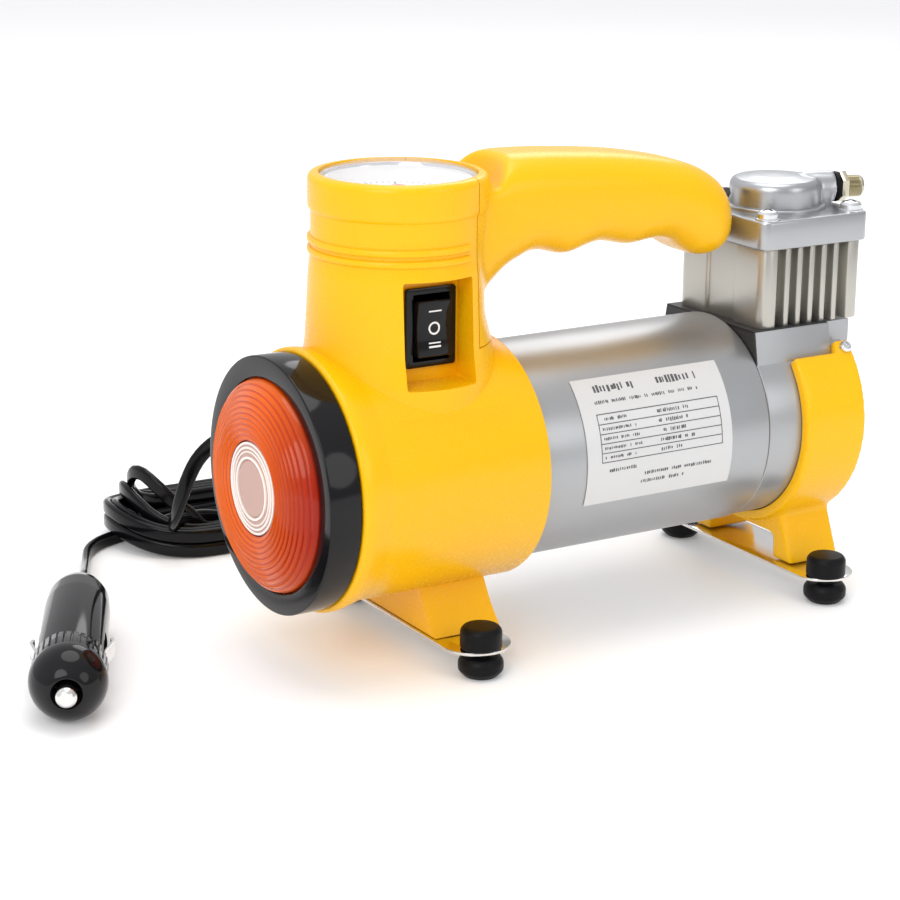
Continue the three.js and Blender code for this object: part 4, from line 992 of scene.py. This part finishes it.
# ---- the strain relief and the plug ----
# A ribbed rubber boot holds the lead at the barrel. The plug is a gloss black car socket plug with
# a round nose, a knurled collar, a sprung centre pin and two side springs.
BOOT_RINGS, RING_PITCH = 8, 2
boot = [(2.6, 29), (4.3, 29), (4.3, 30.6), (3.3, 30.8), (3.3, 34.7), (5.2, 35), (5.2, 36.6)]
for i in range(BOOT_RINGS):
    out, neck, along = 4.5 - i * 0.12, 3.9 - i * 0.08, i * RING_PITCH
    boot += [(out, 37.4 + along), (out, 38.6 + along), (neck, 38.8 + along), (neck, 39.2 + along)]
boot_form = lathe(softened(boot + [(3.3, 54), (2.6, 54)], 0.15), "Y", steps=64, at=(24, 0, -4))
relief = put(to_mesh(boot_form), "strain_relief", RUBBER, replaces=["cord_grommet"])

plug_place = (Matrix.Translation((-61.8, -8.4, GROUND + 10.25))
              @ Matrix.Rotation(math.atan2(-60.4, -28.8), 4, "Z"))


def plug_part(mesh, name, material, replaces, body="housing"):
    """A piece of the plug, laid on the floor where the lead ends."""
    mesh.transform(plug_place)
    return put(mesh, name, material, body=body, replaces=[replaces])


SHELL_LINE = [
    (0, -67), (2.8, -67), (5.6, -65.6), (7.6, -62.6), (8.6, -58), (9, -50), (9, -10.4),
    (7, -10.4), (7, -2), (4.5, -2), (4.5, -38), (0, -38),
]
shell = bench(lathe(softened(SHELL_LINE, 0.6, closed=False), "X", closed=False, steps=96))
carve(shell, "DIFFERENCE", block(-27, -9.9, -12, -6.2, -2.9, 2.9), block(-27, -9.9, 6.2, 12, -2.9, 2.9))
plug_shell = plug_part(off_bench(shell), "plug_shell", BLACK_GLOSS, "plug_body")
TEETH, NOSE_R = 32, 10.25
teeth = []
for i in range(TEETH):
    at = i * 360 / TEETH
    teeth += arc(0, 0, 9.9, at - 3.4, at + 3.4, 2) + arc(0, 0, 9.35, at + 4.6, at + 6.6, 1)
collar = bench(prism(teeth, -10, -0.8, "X", edge=0.15))
ball = [(NOSE_R * math.cos(math.radians(a)), NOSE_R * math.sin(math.radians(a)))
        for a in range(-8, 70, 6)]
carve(collar, "UNION", lathe([(0, ball[0][1]), *ball, (0, ball[-1][1])], "X", closed=False, steps=96))
BORE_LINE = [
    (0, -12), (7.3, -12), (7.3, -1.7), (4.6, -1.7), (4.6, 2), (3.1, 2), (3.1, 7), (4.9, 11), (0, 11),
]
carve(collar, "DIFFERENCE", lathe(BORE_LINE, "X", closed=False, steps=64))
plug_nose = plug_part(off_bench(collar), "plug_nose", BLACK_GLOSS, "plug_cap")
PIN_LINE = [(0, -6), (4.2, -6), (4.2, 1.6), (2.75, 1.7), (2.75, 11.6), (1.9, 12.7), (0, 12.7)]
pin = lathe(softened(PIN_LINE, 0.25, closed=False), "X", closed=False, steps=48)
plug_pin = plug_part(to_mesh(pin), "plug_pin", BRIGHT, "plug_tip", body="tip")
SPRING = [
    (-10.6, 7.6), (-10.6, 8.4), (-15.5, 9.4), (-22.6, 11.2),
    (-25, 10.6), (-24.9, 9.8), (-22.5, 10.3), (-15.5, 8.5),
]
for name, way in (("left", -1), ("right", 1)):
    leaf = prism([(x, y * way) for x, y in softened(SPRING, 0.4)], -2.1, 2.1, edge=0.1)
    plug_part(to_mesh(leaf), f"plug_spring_{name}", BRIGHT,
                                  f"plug_contact_{name}", body=f"{name}_contact")

# ---- the works inside ----
# The gauge's needle and works, the motor's winding, magnets, brushes and shaft, and the pump's crank,
# rod, ring and valve. Each keeps the shape it was drawn with and gets the finish of its own stuff.
NEEDLE_RED = finish("needle_red", (0.6, 0.03, 0.02), 0.35)
COPPER = finish("enamelled_copper", (0.45, 0.16, 0.06), 0.3, metallic=1.0, relief=0.05)
FERRITE = finish("ferrite", (0.05, 0.05, 0.055), 0.6, relief=0.1)
GREY_TUBE = finish("grey_tube", (0.04, 0.04, 0.045), 0.45)
BRASS = finish("turned_brass", (0.6, 0.42, 0.18), 0.25, metallic=1.0)
INSIDE = {
    "gauge_needle": NEEDLE_RED, "gauge_movement": BRASS, "gauge_air_tube": GREY_TUBE,
    "motor_end_cap": BLACK_MATT, "rear_bearing": BRIGHT, "magnet_near": FERRITE, "magnet_far": FERRITE,
    "brush_upper": FERRITE, "brush_lower": FERRITE, "rotor_core": COPPER, "commutator": COPPER,
    "rotor_shaft": BRIGHT, "crank": ZINC, "piston_rod": CAST_ALLOY, "piston_seal": RUBBER,
    "valve_plate": BRIGHT, "outlet_reed": BRIGHT,
}
for name, material in INSIDE.items():
    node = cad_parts[name]
    node.data.materials.clear()
    node.data.materials.append(material)
